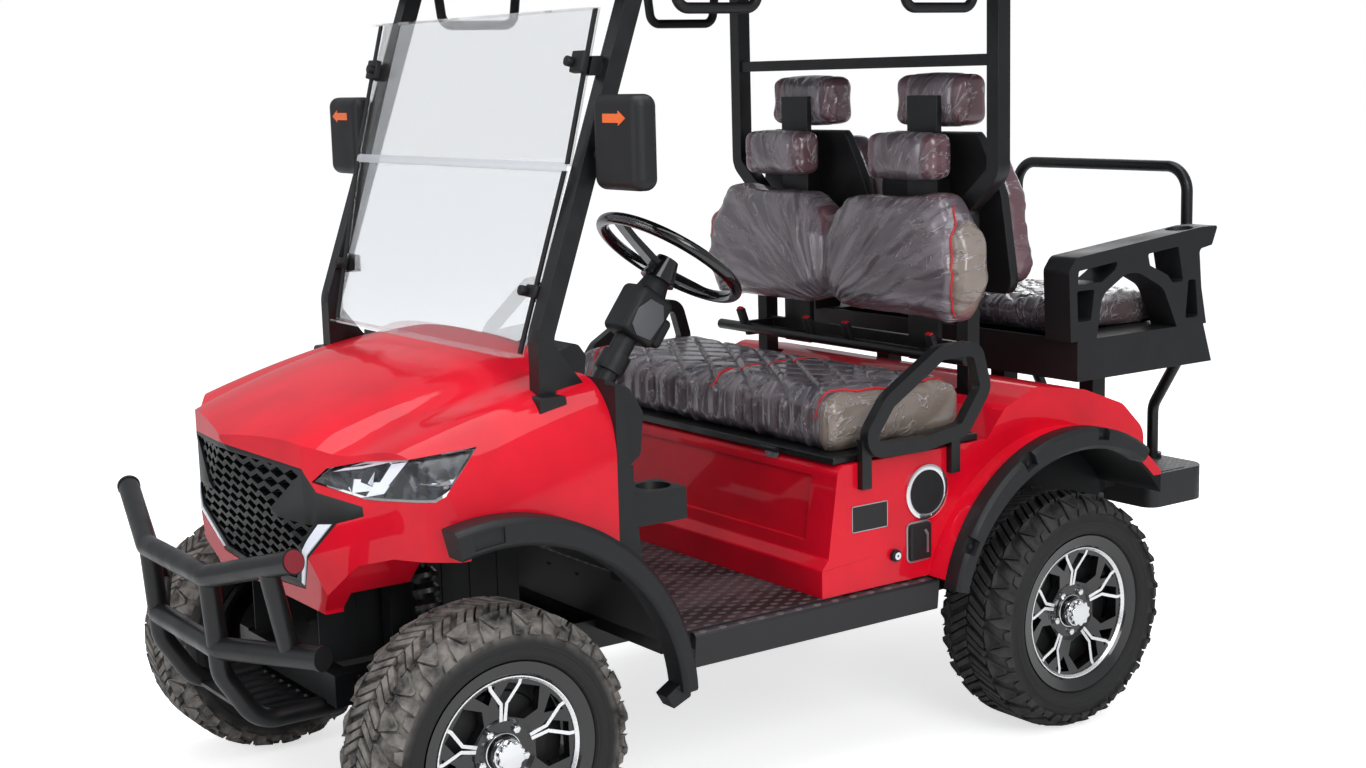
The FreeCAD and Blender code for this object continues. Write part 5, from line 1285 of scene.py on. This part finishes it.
def piping(name, piece, routes, axis, radius_mm, body, step_mm=12):
    """A sewn-in cord laid on the cushion: its route is cast onto the cover back along one axis."""
    cover = surface_of(piece)
    others = [k for k in range(3) if k != axis]
    way = Vector((0, 0, 0))
    way[axis] = -1.0
    parts, length = [], 0.0
    for route in routes:
        found = []
        for (a0, b0), (a1, b1) in zip(route[:-1], route[1:]):
            steps = max(2, int(math.hypot(a1 - a0, b1 - b0) / mm(step_mm)))
            for k in range(steps):
                share = k / steps
                start = way * -3.0
                start[others[0]] = a0 + (a1 - a0) * share
                start[others[1]] = b0 + (b1 - b0) * share
                hit = cover.ray_cast(start, way)[0]
                if hit is not None:
                    found.append(hit - way * mm(radius_mm * 0.6))
        length += sum((b - a).length for a, b in zip(found, found[1:]))
        bpy.ops.object.select_all(action="DESELECT")
        curve = bpy.data.curves.new("cord_line", "CURVE")
        curve.dimensions = "3D"
        spline = curve.splines.new("POLY")
        spline.points.add(len(found) - 1)
        for point, hit in zip(spline.points, found):
            point.co = (*hit, 1)
        curve.bevel_depth = mm(radius_mm)
        curve.bevel_resolution = 2
        made = bpy.data.objects.new("cord_line", curve)
        bpy.context.scene.collection.objects.link(made)
        only(made)
        bpy.ops.object.convert(target="MESH")
        parts.append(bpy.context.object)
    print(name, "cord length", round(length, 2), "m")
    return settle(joined(name, parts), piping_red, body, 60, False)


# %% [markdown]
# The front cushion: two seams mark off the middle, the one on the driver's side piped in red like the
# seams along both sides. The top is quilted in diamonds, and film folds run down over its front edge.

# %% Front cushion
def seam(points):
    """A route given in millimetres from the rear axle, in metres."""
    return [((REAR_AXLE_X + x) / 1000, y / 1000) for x, y in points]


TOP_AND_FRONT, FORWARD, REARWARD, UPWARD = (0.5, 0, 1), (1, 0, 0), (-1, 0, 0), (0, 0, 1)
BORDER_STARTS, PANEL_STARTS = 0.05, 0.508

front_cushion = padded_copy("front_cushion", "front_seat_cushion", voxel_mm=9, shrink_mm=7, cap_mm=22)
low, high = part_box("front_cushion")
middle_seams = [seam([(240, s), (640, s), (720, s)]) for s in (60, -60)]
edge_seams = [seam([(250, s * 505), (560, s * 505), (650, s * 480), (720, s * 470)]) for s in (1, -1)]
quilted(front_cushion, (low[0] + 0.06, -0.46), (high[0] + 0.01, 0.46), 84, 9, TOP_AND_FRONT)
press_seams(front_cushion, (0, 1), middle_seams + edge_seams, 5, 12, (0.4, 0, 1))
film_folds(front_cushion, (low[0] - 0.5, 0.1), (0, 1), 4.0, 95, (1, 0, -0.1))
held_in(front_cushion, low, high, (4, 6, 0), (8, 6, 16))
# The front edge takes the lighter border colour at half strength: partly the cover's own colour, partly a
# painted highlight of the shiny film on the front face.
zone(front_cushion, "border", lambda p: np.clip((p[:, 0] - high[0] + BORDER_STARTS) / 0.04, 0, 1) * 0.5)
zone(front_cushion, "side_panel", lambda p: (np.abs(p[:, 1]) > PANEL_STARTS) * 1.0)
settle(front_cushion, seat_film, "bench", 80, False)
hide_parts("front_cushion")
piping("front_cushion_piping", front_cushion, middle_seams[:1] + edge_seams, 2, 3.0, "bench")

# %% [markdown]
# The front backrest is two lobes wide. Its film is gathered at the bottom of the middle, and its folds
# fan out from there over both lobes. Wine borders run along its outer edges and between the lobes.

# %% Front backrest
front_back = padded_copy("front_backrest", "front_seat_backrest", voxel_mm=9, shrink_mm=7, cap_mm=24)
low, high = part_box("front_backrest")
middle_gap = [(0.0, low[2] - 0.01), (0.012, low[2] + 0.12), (0.0, low[2] + 0.24), (0.01, high[2])]
side_seams = [[(s * 0.47, low[2]), (s * 0.49, low[2] + 0.14), (s * 0.475, low[2] + 0.26), (s * 0.42, high[2])]
              for s in (1, -1)]
press_seams(front_back, (1, 2), [middle_gap], 20, 26, FORWARD)
press_seams(front_back, (1, 2), side_seams, 6, 9, (1, 0, 0.2))
film_folds(front_back, (0.0, low[2] + 0.02), (1, 2), 3.2, 26, FORWARD)
held_in(front_back, low, high, (-1, 10, 10), (22, 10, 12))
zone(front_back, "border", lambda p: (np.abs(p[:, 1]) < 0.05 + 0.5 * (p[:, 2] - low[2] - 0.3))
     * (p[:, 2] > low[2] + 0.16) * 0.9 + (p[:, 2] > high[2] - 0.03) * 0.7)
zone(front_back, "side_panel", lambda p: (np.abs(p[:, 1]) > 0.482) * 1.0)
settle(front_back, back_film, "chassis", 80, False)
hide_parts("front_backrest")
piping("front_backrest_piping", front_back, side_seams, 0, 2.6, "chassis")

# %% [markdown]
# Headrests are small firm pillows with a wine band on each side. The rear pair stands higher and faces
# the other way.

# %% Headrests
REST_Y, BAND_STARTS = 0.255, 0.085
rests = padded_copy("headrests", "headrest_cushions", voxel_mm=7, shrink_mm=5, cap_mm=13)
rest_seams = [[(s * REST_Y + t * BAND_STARTS, 1.30), (s * REST_Y + t * BAND_STARTS, 1.66)]
              for s in (1, -1) for t in (1, -1)]
press_seams(rests, (1, 2), rest_seams, 3.5, 7)
for side in (1, -1):
    film_folds(rests, (side * REST_Y, 1.33), (1, 2), 1.6, 18, FORWARD)
zone(rests, "border", lambda p: (np.abs(np.abs(np.abs(p[:, 1]) - REST_Y)) > BAND_STARTS) * 0.85)
settle(rests, back_film, "chassis", 80, False)
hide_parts("headrests")

# %% [markdown]
# The rear-facing seat has a quilted cushion with one seam across its middle, which lies on the storage
# box's rim, and a pair of backrests with rounded heads, padded on the side that faces the rear.

# %% Rear cushion
rear_pad = padded_copy("rear_cushion", "rear_seat_cushion", voxel_mm=9, shrink_mm=5, cap_mm=18)
low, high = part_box("rear_cushion")
quilted(rear_pad, (low[0] + 0.03, low[1] + 0.06), (high[0] - 0.03, high[1] - 0.06), 74, 5, UPWARD)
press_seams(rear_pad, (0, 1), [[(low[0], 0.0), (high[0], 0.0)]], 9, 10, UPWARD)
film_folds(rear_pad, (low[0] - 0.4, 0.0), (0, 1), 3.5, 80, UPWARD)
held_in(rear_pad, low, high, (2, 2, 0), (1, 2, 18))
zone(rear_pad, "border", lambda p: (np.abs(p[:, 1]) > 0.40) * 0.7)
settle(rear_pad, seat_film, "rear_seat_lid", 80, False)
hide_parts("rear_cushion")

# %% Rear backrests
SHELL_Y, SHELL_BAND = 0.251, 0.165
rear_backs = padded_copy("rear_backrests", "rear_seat_backrests", voxel_mm=9, shrink_mm=6, cap_mm=20)
low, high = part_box("rear_backrests")
rear_seams = [[(s * SHELL_Y + t * 0.15, low[2]), (s * SHELL_Y + t * SHELL_BAND, low[2] + 0.2),
               (s * SHELL_Y + t * 0.13, high[2])] for s in (1, -1) for t in (1, -1)]
press_seams(rear_backs, (1, 2), rear_seams, 5, 8, REARWARD)
for side in (1, -1):
    film_folds(rear_backs, (side * SHELL_Y, low[2]), (1, 2), 2.0, 22, REARWARD)
zone(rear_backs, "border", lambda p: (np.abs(np.abs(np.abs(p[:, 1]) - SHELL_Y)) > SHELL_BAND) * 0.8)
settle(rear_backs, back_film, "chassis", 80, False)
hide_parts("rear_backrests")

# %% [markdown]
# The last cell measures the box of the dressed cart and prints it.

# %% Box of the dressed cart
low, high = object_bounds()
print("visual box", tuple(low), tuple(high))
